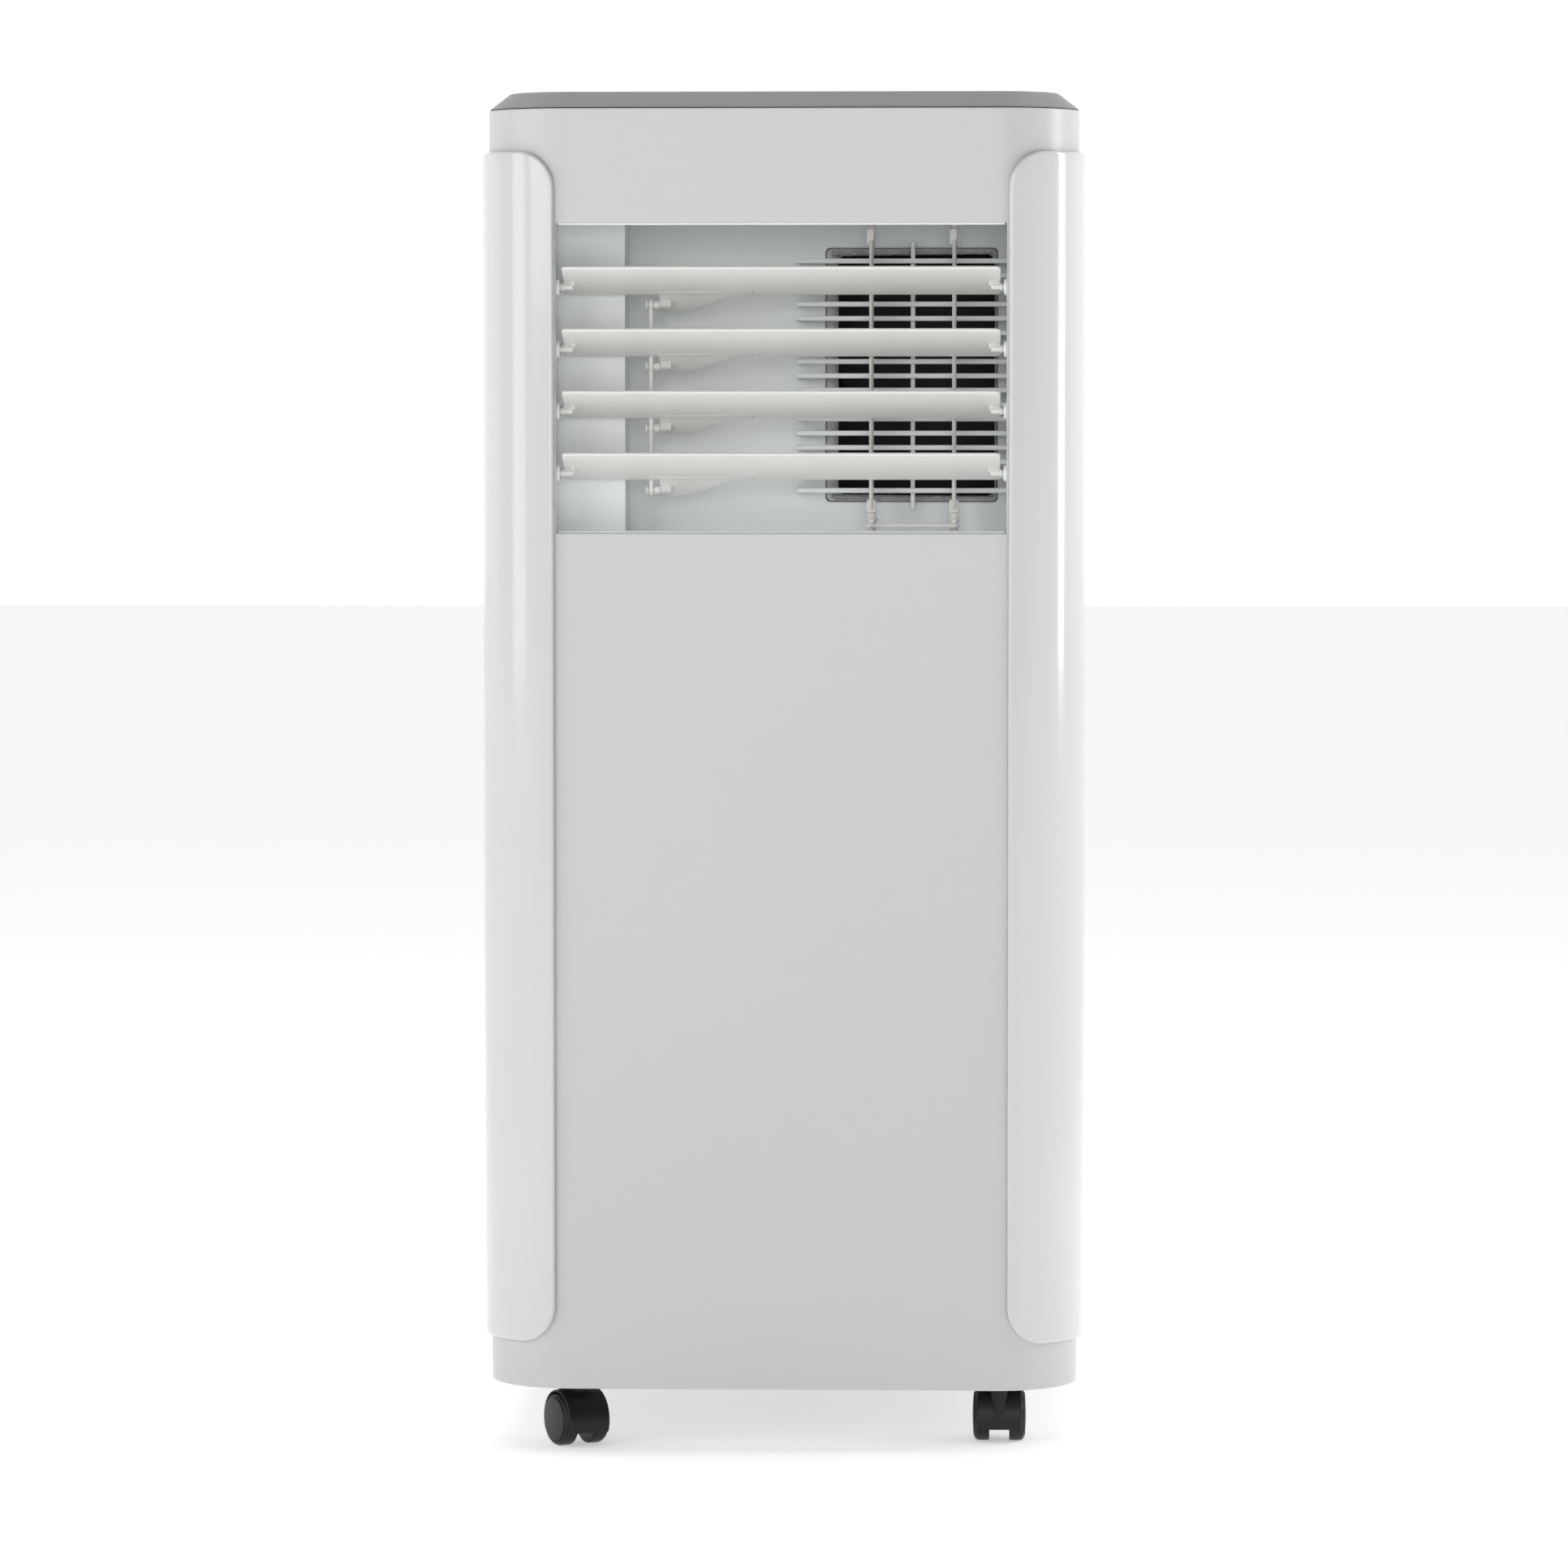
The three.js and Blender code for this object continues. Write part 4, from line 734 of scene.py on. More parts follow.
# ---- outlet: louvres, link, vanes and grille ----
outlet = {
    "pivots": [596.4 - 31.6 * i for i in range(4)], "pivotY": -153.0, "louvreHalf": 111.8, "chord": 31.1,
    "thickness": 1.8, "slope": 24.4, "lift": 3.93, "endCorner": 2.6, "endThin": 0.6, "backCorner": 0.28,
    "crank": (19.0, -8.8), "pin": 1.5,
    "linkX": -67.8, "linkThick": 2.1, "linkWidth": 4.6, "bossX": 113.4, "pinEnd": 115.4,
}
finger = {"x": -63.4, "tip": -57.5, "end": -15.0, "drop": 9.3, "slope": 40.0, "thickness": 1.6, "fillet": 2.4,
          "bend": 9.0, "edge": 0.5, "root": -3.0}
slope = math.radians(outlet["slope"])
along = np.array([math.cos(slope), -math.sin(slope)])
lifted = np.array([math.sin(slope), math.cos(slope)])


# Point on a louvre's section: chord distance s and height n above its middle plane, as (y, z).
def bladePoint(height, s, n):
    s, n = np.asarray(s, float), np.asarray(n, float) + outlet["lift"]
    return (outlet["pivotY"] + s * along[0] + n * lifted[0], height + s * along[1] + n * lifted[1])


# Blade section: a half circle in front, flats with close lines beside each end, and two small corners behind.
def bladeLoop(half, thick):
    front, corner = thick / 2, outlet["backCorner"]
    t = np.linspace(math.pi / 2, 3 * math.pi / 2, 9)
    u = np.linspace(-math.pi / 2, 0, 4)
    start, stop = -half + front, half - corner
    flat = np.concatenate([[start + 0.25], np.linspace(start + 1.5, stop - 1.5, 5), [stop - 0.15]])
    behind, fall = stop + corner * np.cos(u), -front + corner + corner * np.sin(u)
    s = np.concatenate([start + front * np.cos(t), flat, behind, behind[::-1], flat[::-1]])
    n = np.concatenate([front * np.sin(t), np.full(7, -front), fall, -fall[::-1], np.full(7, front)])
    return s, n


# The blade's ends: it shortens by c - sqrt(c^2 - (c - edge)^2) over the end corner c, and thins in the same way.
def louvreBlade(height):
    corner, half = outlet["endCorner"], outlet["louvreHalf"]
    near = np.array([0.0, 0.08, 0.25, 0.5, 0.85, 1.3, 2.0, 8.0])
    reach = np.concatenate([near, np.linspace(20, 2 * half - 20, 8), 2 * half - near[::-1]])
    edge = np.minimum(reach, 2 * half - reach)
    short = corner - np.sqrt(np.maximum(corner ** 2 - np.maximum(corner - edge, 0) ** 2, 0))
    thin = outlet["endThin"]
    thin = thin - np.sqrt(np.maximum(thin ** 2 - np.maximum(thin - edge, 0) ** 2, 0))
    rings = []
    for x, cut, less in zip(reach - half, short, thin):
        s, n = bladeLoop(outlet["chord"] / 2 - cut, outlet["thickness"] - 1.6 * less)
        y, z = bladePoint(height, s, n)
        rings.append(np.stack([np.full(len(y), x), y, z], 1))
    return loft(rings)


# How far the finger reaches below the blade's edge at x: a concave fillet, a steep side, a rounded tip, and
# then depth * (1 + cos(pi u)) / 2 back to the blade.
def fingerReach(x):
    depth = finger["drop"] / math.sin(math.radians(finger["slope"]))
    fillet = finger["fillet"]
    rise = fillet - np.sqrt(np.maximum(fillet ** 2 - np.clip(x - finger["x"] + fillet, 0, fillet) ** 2, 0))
    t = np.clip((x - finger["x"]) / (finger["tip"] - finger["x"]), 0, 1)
    side = depth * (0.62 + 0.38 * np.sqrt(1 - (1 - t) ** 2))
    u = np.clip((x - finger["tip"]) / (finger["end"] - finger["tip"]), 0, 1)
    sweep = depth * 0.5 * (1 + np.cos(math.pi * u))
    return np.where(x < finger["x"], rise, np.where(x < finger["tip"], side, sweep))


# The finger bends from the blade's slope to its own: position along an arc of the bend radius, then straight.
def louvreFinger(height):
    start, steep, bend = math.radians(outlet["slope"]), math.radians(finger["slope"]), finger["bend"]
    x0 = finger["x"] - finger["fillet"]
    x = np.concatenate([np.linspace(x0, finger["x"] - 0.01, 8), np.linspace(finger["x"], finger["tip"], 12),
                        np.linspace(finger["tip"], finger["end"], 34)[1:]])
    low, edge, root = finger["thickness"] / 2, finger["edge"], finger["root"]
    y0, z0 = bladePoint(height, outlet["chord"] / 2 - 0.7, -outlet["thickness"] / 2 - 0.03 + low)
    t = np.linspace(-math.pi / 2, math.pi / 2, 9)
    rings = []
    for across, reach in zip(x, fingerReach(x)):
        tip = max(reach, 0.02)
        far = tip - edge * (1 - np.cos(t))
        v = np.concatenate([np.linspace(root, tip - edge, 10), far[1:-1], np.linspace(tip - edge, root, 10)])
        w = np.concatenate([np.full(10, -low), low * np.sin(t[1:-1]), np.full(10, low)])
        turn = np.clip(v / bend, 0, steep - start)
        rest = np.maximum(v - bend * (steep - start), 0)
        angle, back = start + turn, np.minimum(v, 0)
        y = back * math.cos(start) + bend * (np.sin(angle) - math.sin(start)) + rest * math.cos(steep)
        z = -back * math.sin(start) - bend * (math.cos(start) - np.cos(angle)) - rest * math.sin(steep)
        y, z = y0 + y + w * np.sin(angle), z0 + z + w * np.cos(angle)
        rings.append(np.stack([np.full(len(v), across), y, z], 1))
    return loft(rings)


# A round pin with domed ends, from x0 to x1.
def pinAcross(y, z, radius, x0, x1, dome=0.4):
    part = 0.3 * dome
    profile = [(radius - dome, x0), (radius - part, x0 + part), (radius, x0 + dome),
               (radius, x1 - dome), (radius - part, x1 - part), (radius - dome, x1)]
    return turned(profile, (0, y, z), "x", 20)


# A small rounded tab from x0 to x1, between two levels, tilted about x and set at (y, z).
def clipTab(x0, x1, low, high, tilt, y, z):
    shape = plate(roundedRect(x0, x1, -1.6, 1.6, 0.7, 4), low, high, "z", 0.35)
    return moved(rotated(shape, -tilt, "x"), (0, y, z))


# Distances from the blade's end are inwards, and those of the crank are along x.
louvreFittings = {
    "clip": (6.2, 0.4), "clipAt": 1.2, "clipFall": 2.2, "pinFrom": 5.0, "shoulder": (0.2, -0.9),
    "web": (3.2, 0.2), "webTop": (-1.0, 3.4), "webFoot": (1.3, 0.4), "crankFrom": -70.4,
    "head": (-70.8, -69.3), "collar": (-66.2, -63.2), "crankTab": (-63.4, -57.3),
}


def makeLouvre(number, height):
    fit, pin, half = louvreFittings, outlet["pin"], outlet["louvreHalf"]
    pivotY = outlet["pivotY"]
    crankY, crankZ = pivotY + outlet["crank"][0], height + outlet["crank"][1]
    clipY, clipZ = bladePoint(height, fit["clipAt"], -outlet["thickness"] / 2)
    (y0, z0), (y1, z1) = (bladePoint(height, s, 0) for s in fit["webTop"])
    footY, footZ = fit["webFoot"]
    web = np.array([[pivotY - footY, height - footZ], [pivotY + footY, height - footZ], [y1, z1], [y0, z0]])
    shapes = [louvreBlade(height), louvreFinger(height)]
    for side in (-1, 1):
        def span(first, last):
            return sorted((side * (half - first), side * (half - last)))
        shapes.append(clipTab(*span(*fit["clip"]), -fit["clipFall"], 0.3, outlet["slope"], clipY, clipZ))
        reach = sorted((side * (half - fit["pinFrom"]), side * outlet["pinEnd"]))
        shapes.append(pinAcross(pivotY, height, pin, *reach))
        shapes.append(pinAcross(pivotY, height, pin + 0.5, *span(*fit["shoulder"]), 0.5))
        shapes.append(plate(web, *span(*fit["web"]), "x", 0.25))
    shapes.append(pinAcross(crankY, crankZ, pin, fit["crankFrom"], finger["tip"]))
    shapes.append(pinAcross(crankY, crankZ, pin + 1.0, *fit["head"], 0.6))
    shapes.append(pinAcross(crankY, crankZ, pin + 0.7, *fit["collar"], 0.5))
    shapes.append(clipTab(*fit["crankTab"], -1.2, 2.6, finger["slope"], crankY, crankZ))
    addPiece(f"louvre_{number}_blade", shapes, "vaneWhite", node=f"louvre_{number}")


def makeLink():
    x0, x1 = outlet["linkX"] - outlet["linkThick"] / 2, outlet["linkX"] + outlet["linkThick"] / 2
    y = outlet["pivotY"] + outlet["crank"][0]
    heights = [height + outlet["crank"][1] for height in outlet["pivots"]]
    half = outlet["linkWidth"] / 2
    # the bar widens to a round eye at each pin: half width + 0.5 * exp(-(distance / 2.2)^2)
    z = np.linspace(heights[-1] - 2.8, heights[0] + 2.8, 160)
    nearest = np.min(np.abs(z[:, None] - np.array(heights)[None, :]), 1)
    width = (half - 0.5) + 0.5 * np.exp(-(nearest / 2.2) ** 2)
    # past the end pins it closes in a half circle
    past = np.clip(np.abs(z - np.mean(heights)) - (heights[0] - heights[-1]) / 2, 0, 2.79)
    taper = np.sqrt(np.clip(1 - (past / 2.8) ** 2, 0.05, 1))
    right = np.stack([y + width * taper, z], 1)
    left = np.stack([y - width * taper, z], 1)[::-1]
    bar = plate(np.concatenate([right, left]), x0, x1, "x", 0.45)
    addPiece("louvre_link_bar", [bar], "vaneWhite", node="louvre_link")


# Profiles are (radius, height); blocks are x0, x1, y0, y1, z0, z1 and rim, from the vane's own axis.
vane = {
    "places": (45.2, 87.8), "y": -124.0, "chord": 19.0, "thick": 2.2, "low": 483.0, "high": 621.0,
    "upperPin": [(1.9, 620.2), (2.4, 620.6), (2.4, 627.0), (1.8, 627.0), (1.8, 634.6), (1.6, 635.6)],
    "lowerPin": [(1.6, 468.2), (1.9, 468.6), (2.4, 469.6), (2.4, 484.2), (1.9, 484.6)],
    "flange": [(2.9, 476.6), (3.4, 476.9), (3.4, 477.9), (2.9, 478.2)],
    "upperClip": (-2.4, 1.5, -4.6, 4.6, 618.4, 626.6, 0.4), "clipLeaf": (1.7, 2.4, -3.0, 3.0, 617.6, 624.0, 0.2),
    "lowerClip": (-2.4, 2.4, -4.0, 3.4, 481.2, 487.6, 0.4),
    "linkPin": 7.5, "linkLow": 473.55, "linkHigh": 475.45, "linkEye": 3.0, "linkGap": 0.3,
}


def makeVane(node, x):
    y, half, chord = vane["y"], vane["thick"] / 2, vane["chord"] / 2
    # lens section: half thickness times the square root of 1 - (2 t - 1)^6 along the chord
    t = np.linspace(0, 1, 19)
    depth = half * np.sqrt(np.maximum(1 - np.abs(2 * t - 1) ** 6, 0.02))
    outline = np.concatenate([np.stack([x + depth, y - chord + 2 * chord * t], 1),
                              np.stack([x - depth, y - chord + 2 * chord * t], 1)[::-1]])
    def beside(name):
        x0, x1, y0, y1, z0, z1, rim = vane[name]
        return block(x + x0, x + x1, y + y0, y + y1, z0, z1, rim)
    crankLow = vane["linkHigh"] + vane["linkGap"]
    crankPin = [(0.9, 472.8), (1.2, 473.1), (1.2, crankLow + 1.0), (1.0, crankLow + 1.2)]
    shapes = [
        plate(outline, vane["low"], vane["high"], "z", 0.35), turned(vane["upperPin"], (x, y, 0), "z", 20),
        beside("upperClip"), beside("clipLeaf"), turned(vane["lowerPin"], (x, y, 0), "z", 20),
        turned(vane["flange"], (x, y, 0), "z", 24), beside("lowerClip"),
        block(x - 1.5, x + 1.5, y - 9.0, y, crankLow, crankLow + 1.8, 0.35),
        turned(crankPin, (x, y - vane["linkPin"], 0), "z", 16),
    ]
    addPiece(node + "_blade", shapes, "vaneWhite", node=node)


def makeVaneLink():
    (x0, x1), y, eye = vane["places"], vane["y"] - vane["linkPin"], vane["linkEye"]
    a = np.linspace(math.pi / 2, 3 * math.pi / 2, 15)
    # two round eyes joined by a waist: half width 1.3 + 1.7 * exp(-(distance / 2.4)^2)
    x = np.linspace(x0 + 1.5, x1 - 1.5, 60)
    waist = 1.3 + 1.7 * np.exp(-(np.minimum(x - x0, x1 - x) / 2.4) ** 2)
    left = np.stack([x0 + eye * np.cos(a), y + eye * np.sin(a)], 1)
    right = np.stack([x1 - eye * np.cos(a), y - eye * np.sin(a)], 1)
    outline = np.concatenate([left, np.stack([x, y - waist], 1), right, np.stack([x[::-1], y + waist[::-1]], 1)])
    bar = plate(outline, vane["linkLow"], vane["linkHigh"], "z", 0.35)
    addPiece("vane_link_bar", [bar], "vaneWhite", node="vane_link")


grille = {
    "ribs": 17, "pitch": 7.4, "top": 610.6, "height": 2.6, "depth": 4.5, "y": -112.0,
    "left": 6.2, "right": 115.5, "wallY": -101.3, "leg": 2.8, "mullion": (66.2, 2.3), "below": 2.3, "above": 10.2,
}


def makeGrille():
    shapes = []
    y, left, half = grille["y"], grille["left"], grille["height"] / 2
    for i in range(grille["ribs"]):
        z = grille["top"] - i * grille["pitch"]
        section = roundedRect(y, y + grille["depth"], z - half, z + half, 0.7, 4)
        shapes.append(plate(section, left, grille["right"], "x", 0.3))
        shapes.append(block(left, left + grille["leg"], y + 0.2, grille["wallY"], z - half, z + half, 0.4))
    low = grille["top"] - grille["ribs"] * grille["pitch"] - grille["below"]
    middle, width = grille["mullion"]
    x0, x1 = middle - width / 2, middle + width / 2
    section = roundedRect(x0, x1, y + grille["depth"] - 1, grille["wallY"], 0.6, 4)
    shapes.append(plate(section, low, grille["top"] + grille["above"], "z", 0.5))
    addPiece("outlet_grille_ribs", shapes, "recessWhite", node="outlet_grille")


# Rim rectangles are x0, x1, z0, z1, corner; a foam strip is its height and the side that it faces.
trim = {
    "boss": [(1.95, 0.0), (3.4, 0.0), (4.0, 0.25), (4.2, 0.9), (4.2, 2.2), (1.95, 2.2), (1.95, 1.1)],
    "rimOuter": (21.4, 109.6, 486.6, 617.1, 2.6), "rimInner": (27.2, 108.4, 489.0, 614.6, 5.0),
    "rimFront": -100.8, "rimTaper": -91.0, "rimBack": -90.2,
    "foam": [(614.9, -1), (488.6, 1)], "foamX": (24.0, 108.0), "foamY": -95.5, "foamDepth": 3.2, "foamHalf": 1.9,
}


# Recess extras: pivot bosses, the tapered rim of the mouth, and the foam strips along it.
def makeRecessTrim():
    body, slot = bodyOf("outlet_recess"), slotOf("outlet_recess")
    shapes = []
    for height in outlet["pivots"]:
        for side in (-1, 1):
            ring = turned(trim["boss"], (outlet["bossX"], outlet["pivotY"], height), "x", 28)
            shapes.append(ring if side > 0 else mirrored(ring))
    addPiece("louvre_bosses", shapes, "recessWhite", body=body, weighted=False)
    outer, inner = roundedRect(*trim["rimOuter"], 6), roundedRect(*trim["rimInner"], 6)
    rings = [placed(edge[:, 0], edge[:, 1], np.full(len(edge), y), "y")
             for edge, y in ((outer, trim["rimFront"]), (inner, trim["rimTaper"]),
                             (inner, trim["rimBack"]), (outer, trim["rimBack"]))]
    addPiece("mouth_rim", [loft(rings, closed=True)], "rimGrey", body=body)
    # foam: a rolled strip that thins along x, its surface roughened by a fixed sum of sines
    strips, (x0, x1), thin = [], trim["foamX"], trim["foamHalf"]
    for z, side in trim["foam"]:
        x = np.linspace(x0, x1, 240)
        a = np.linspace(0, 2 * math.pi, 14, endpoint=False)
        gridX, gridA = np.meshgrid(x, a, indexing="ij")
        rough = 1 + 0.16 * np.sin(gridX * 2.9 + 3 * gridA) * np.sin(gridX * 1.7 - gridA * 2)
        rough += 0.12 * np.sin(gridX * 7.3 + 5 * gridA)
        radius = (thin - 0.012 * (gridX - x0)) * rough
        y = trim["foamY"] + trim["foamDepth"] * radius / thin * np.cos(gridA)
        strips.append(loft(np.stack([gridX, y, z + side * -0.4 + radius * np.sin(gridA)], -1)))
    addPiece("foam_strips", strips, "foamWhite", body=body, weighted=False)


for number, height in enumerate(outlet["pivots"]):
    makeLouvre(number + 1, height)
makeLink()
makeVane("left_vane", vane["places"][0])
makeVane("right_vane", vane["places"][1])
makeVaneLink()
makeGrille()
makeRecessTrim()
keepNode("outlet_recess", "recessWhite", 0.8)
print("outlet made")


# ---- casters ----
caster = {
    # x, y and the swivel's turn
    "places": {"front_left": (-112, -136.5, 211), "front_right": (112, -136.5, 0),
               "rear_left": (-112, 136.5, 24), "rear_right": (112, 136.5, -17)},
    "trail": 11.0, "wheel": 13.5, "inner": 5.15, "hood": 15.2, "hoodHalf": 11.7, "clear": 7.3, "stem": 4.0,
    "gap": 0.6, "rim": 0.9, "collarTop": 29.8, "stemTop": 54.0,
}


# Drum wall: a closed section in (x, radius) swept about the axle, each radius stopping at the level of the cut.
def drumWall(section, axleY, axleZ, cutZ, steps=44):
    section = np.asarray(section, float)
    drop = np.arcsin(np.clip((axleZ - cutZ) / section[:, 1], -1, 1))
    share = np.linspace(0, 1, steps)[:, None]
    angle = -drop[None, :] + share * (math.pi + 2 * drop[None, :])
    rings = np.stack([np.repeat(section[None, :, 0], steps, 0), axleY + section[None, :, 1] * np.cos(angle),
                      axleZ + section[None, :, 1] * np.sin(angle)], -1)
    return loft(rings)


def makeCaster(place, x, y, turn):
    axleY, axleZ, near, stem = caster["trail"], caster["wheel"], caster["inner"], caster["stem"]
    outer, inner, half, r = caster["hood"], axleZ + caster["gap"], caster["hoodHalf"], caster["rim"]
    a = np.linspace(0, math.pi / 2, 6)
    right = np.stack([half - r + r * np.sin(a), outer - r + r * np.cos(a)], 1)
    section = np.concatenate([right, [(half, inner + 0.1), (half - 0.3, inner)],
                              [(-half + 0.3, inner), (-half, inner + 0.1)], (right * (-1, 1))[::-1]])
    web = circle(0, 0, inner + 0.4, 56)
    web[:, 1] = np.maximum(web[:, 1], caster["clear"] - axleZ)
    high, top = caster["collarTop"], caster["stemTop"]
    collar = [(3.6, axleZ - 1), (stem + 0.6, axleZ), (stem + 0.6, high - 0.8), (4.2, high)]
    post = [(3.4, 25.0), (stem, 25.6), (stem, top - 0.6), (3.4, top)]
    hood = [
        drumWall(section, axleY, axleZ, caster["clear"]),
        plate(web + (axleY, axleZ), -near + 0.4, near - 0.4, "x", 0.3),
        turned(collar, (0, 0, 0), "z", 28), turned(post, (0, 0, 0), "z", 24),
    ]
    # wheel: tread, a small shoulder, a ring groove, then a dome that rises by 0.6 * (1 - (r / 11.4)^2)
    dome = [(r1, 13.25 + 0.6 * (1 - (r1 / 11.4) ** 2)) for r1 in (11.2, 10.0, 8.0, 5.5, 3.0, 0.9)]
    side = [(8.0, near), (12.9, near), (13.35, near + 0.25), (axleZ, near + 0.8), (axleZ, 10.6), (13.3, 11.5),
            (12.8, 12.2), (12.35, 12.7), (12.1, 12.75), (11.75, 12.35), (11.45, 12.5), (11.3, 13.0)] + dome
    wheels = []
    for way in (-1, 1):
        wheel = turned(side, (0, axleY, axleZ), "x", 48)
        wheels.append(wheel if way > 0 else mirrored(wheel))
    wheels.append(turned([(1.6, -7), (2.0, -6.6), (2.0, 6.6), (1.6, 7)], (0, axleY, axleZ), "x", 20))
    for kind, shapes in (("hood", hood), ("wheels", wheels)):
        shapes = [moved(rotated(shape, turn), (x, y, 0)) for shape in shapes]
        node = f"{place}_caster_{kind}"
        addPiece(node + "_moulding", shapes, "casterBlack", node=node)


for place, (x, y, turn) in caster["places"].items():
    makeCaster(place, x, y, turn)
print("casters made")


# ---- control panel ----
panel = {
    "half": (95.0, 25.0), "middle": -108.0, "corner": 8.0, "top": 695.0, "thick": 2.4, "lens": (23.0, 9.0),
    "buttons": {"power": -80.75, "mode": -59.75, "fan_speed": -38.75,
                "temp_down": 38.75, "temp_up": 59.75, "timer": 80.75},
    "buttonRadius": 5.0, "buttonTop": 695.8, "lensGap": 0.3, "buttonGap": 0.4, "markBelow": 11.5,
}


# A plate with holes: closed outlines filled as one flat curve, given depth and a rounded rim, then made a mesh.
def pierced(name, outlines, low, high, rim):
    curve = bpy.data.curves.new(name, "CURVE")
    curve.dimensions, curve.fill_mode = "2D", "BOTH"
    curve.extrude, curve.bevel_depth, curve.bevel_resolution = (high - low) / 2 - rim, rim, 2
    curve.offset = -rim
    for outline in outlines:
        spline = curve.splines.new("POLY")
        spline.points.add(len(outline) - 1)
        flat = np.zeros((len(outline), 4))
        flat[:, :2], flat[:, 3] = outline, 1
        spline.points.foreach_set("co", flat.ravel())
        spline.use_cyclic_u = True
    holder = bpy.data.objects.new(name, curve)
    bpy.context.scene.collection.objects.link(holder)
    bpy.context.view_layer.update()
    finished = holder.evaluated_get(bpy.context.evaluated_depsgraph_get())
    mesh = bpy.data.meshes.new_from_object(finished)
    points = np.zeros(len(mesh.vertices) * 3)
    mesh.vertices.foreach_get("co", points)
    points = points.reshape(-1, 3) + (0, 0, (low + high) / 2)
    faces = [list(face.vertices) for face in mesh.polygons]
    bpy.data.objects.remove(holder)
    bpy.data.meshes.remove(mesh)
    return points, outward(points, faces)


# A printed mark is a thin plate that stands just above the panel.
def panelMark(outline):
    return plate(outline, panel["top"] - 0.05, panel["top"] + 0.06, "z", 0)


# A band along an arc, from one angle to another.
def arcBand(x, y, radius, width, start, end, steps=24):
    a = np.radians(np.linspace(start, end, steps))
    around = np.stack([np.cos(a), np.sin(a)], 1)
    return np.concatenate([(radius + width / 2) * around, ((radius - width / 2) * around)[::-1]]) + (x, y)


def bar(x, y, length, width, degrees):
    a, half, rise = math.radians(degrees), length / 2, width / 2
    shape = np.array([[-half, -rise], [half, -rise], [half, rise], [-half, rise]])
    return shape @ np.array([[math.cos(a), math.sin(a)], [-math.sin(a), math.cos(a)]]) + (x, y)


def makePanel():
    w, d = panel["half"]
    middle, top, low = panel["middle"], panel["top"], panel["top"] - panel["thick"]
    lensW, lensD = panel["lens"]
    hole = panel["buttonRadius"] + panel["buttonGap"]
    wide, deep = lensW + panel["lensGap"], lensD + panel["lensGap"]
    outlines = [roundedRect(-w, w, middle - d, middle + d, panel["corner"], 12),
                roundedRect(-wide, wide, middle - deep, middle + deep, 0.6, 3)]
    outlines += [circle(x, middle, hole, 40) for x in panel["buttons"].values()]
    sheet = pierced("panel", outlines, low, top, 0.3)
    addPiece("control_panel_plate", [sheet], "panelBlack", node="control_panel")
    lens = plate(roundedRect(-lensW, lensW, middle - lensD, middle + lensD, 0.8, 4), low, top, "z", 0.3)
    addPiece("display_window", [lens], "lensDark", node="display_lens")
    for name, x in panel["buttons"].items():
        radius, high = panel["buttonRadius"], panel["buttonTop"]
        profile = [(radius + 1.4, low - 1.9), (radius + 1.4, low - 0.3), (radius, low - 0.3),
                   (radius, high - 0.5), (radius - 0.15, high - 0.15), (radius - 0.5, high),
                   (radius - 1.4, high - 0.05), (radius - 3.0, high - 0.22), (0.6, high - 0.32)]
        cap = turned(profile, (x, middle, 0), "z", 40)
        addPiece(f"{name}_button_cap", [cap], "buttonWhite", node=f"{name}_button")
    # generic printed marks in front of the buttons: power, frost, fan, minus, plus and clock
    y, at = middle - panel["markBelow"], panel["buttons"]
    marks = [arcBand(at["power"], y, 2.2, 0.5, 120, 420), bar(at["power"], y + 1.9, 2.4, 0.5, 90)]
    marks += [bar(at["mode"], y, 5.0, 0.45, turn) for turn in (0, 60, 120)]
    for a in (0.5, 2.594, 4.689):
        x0, y0, start = at["fan_speed"] + 1.3 * math.cos(a), y + 1.3 * math.sin(a), math.degrees(a) - 60
        marks.append(arcBand(x0, y0, 1.1, 0.5, start, start + 180, 10))
    marks += [bar(at["temp_down"], y, 4.0, 0.6, 0)]
    marks += [bar(at["temp_up"], y, 4.0, 0.6, turn) for turn in (0, 90)]
    marks += [arcBand(at["timer"], y, 2.3, 0.45, 0, 359.9), bar(at["timer"], y + 0.8, 1.6, 0.4, 90),
              bar(at["timer"] + 0.65, y, 1.3, 0.4, 0)]
    addPiece("panel_marks", [panelMark(mark) for mark in marks], "printWhite", body=bodyOf("control_panel"),
             weighted=False)


# ---- rear: filter cassettes, exhaust collar, gland, plugs and screws ----
cassette = {"gap": 0.6, "lip": 3.9, "frame": 6.4, "deep": 12.0, "slatPitch": 11.0, "barHalf": 2.8,
            "scoopHalf": 14.0}


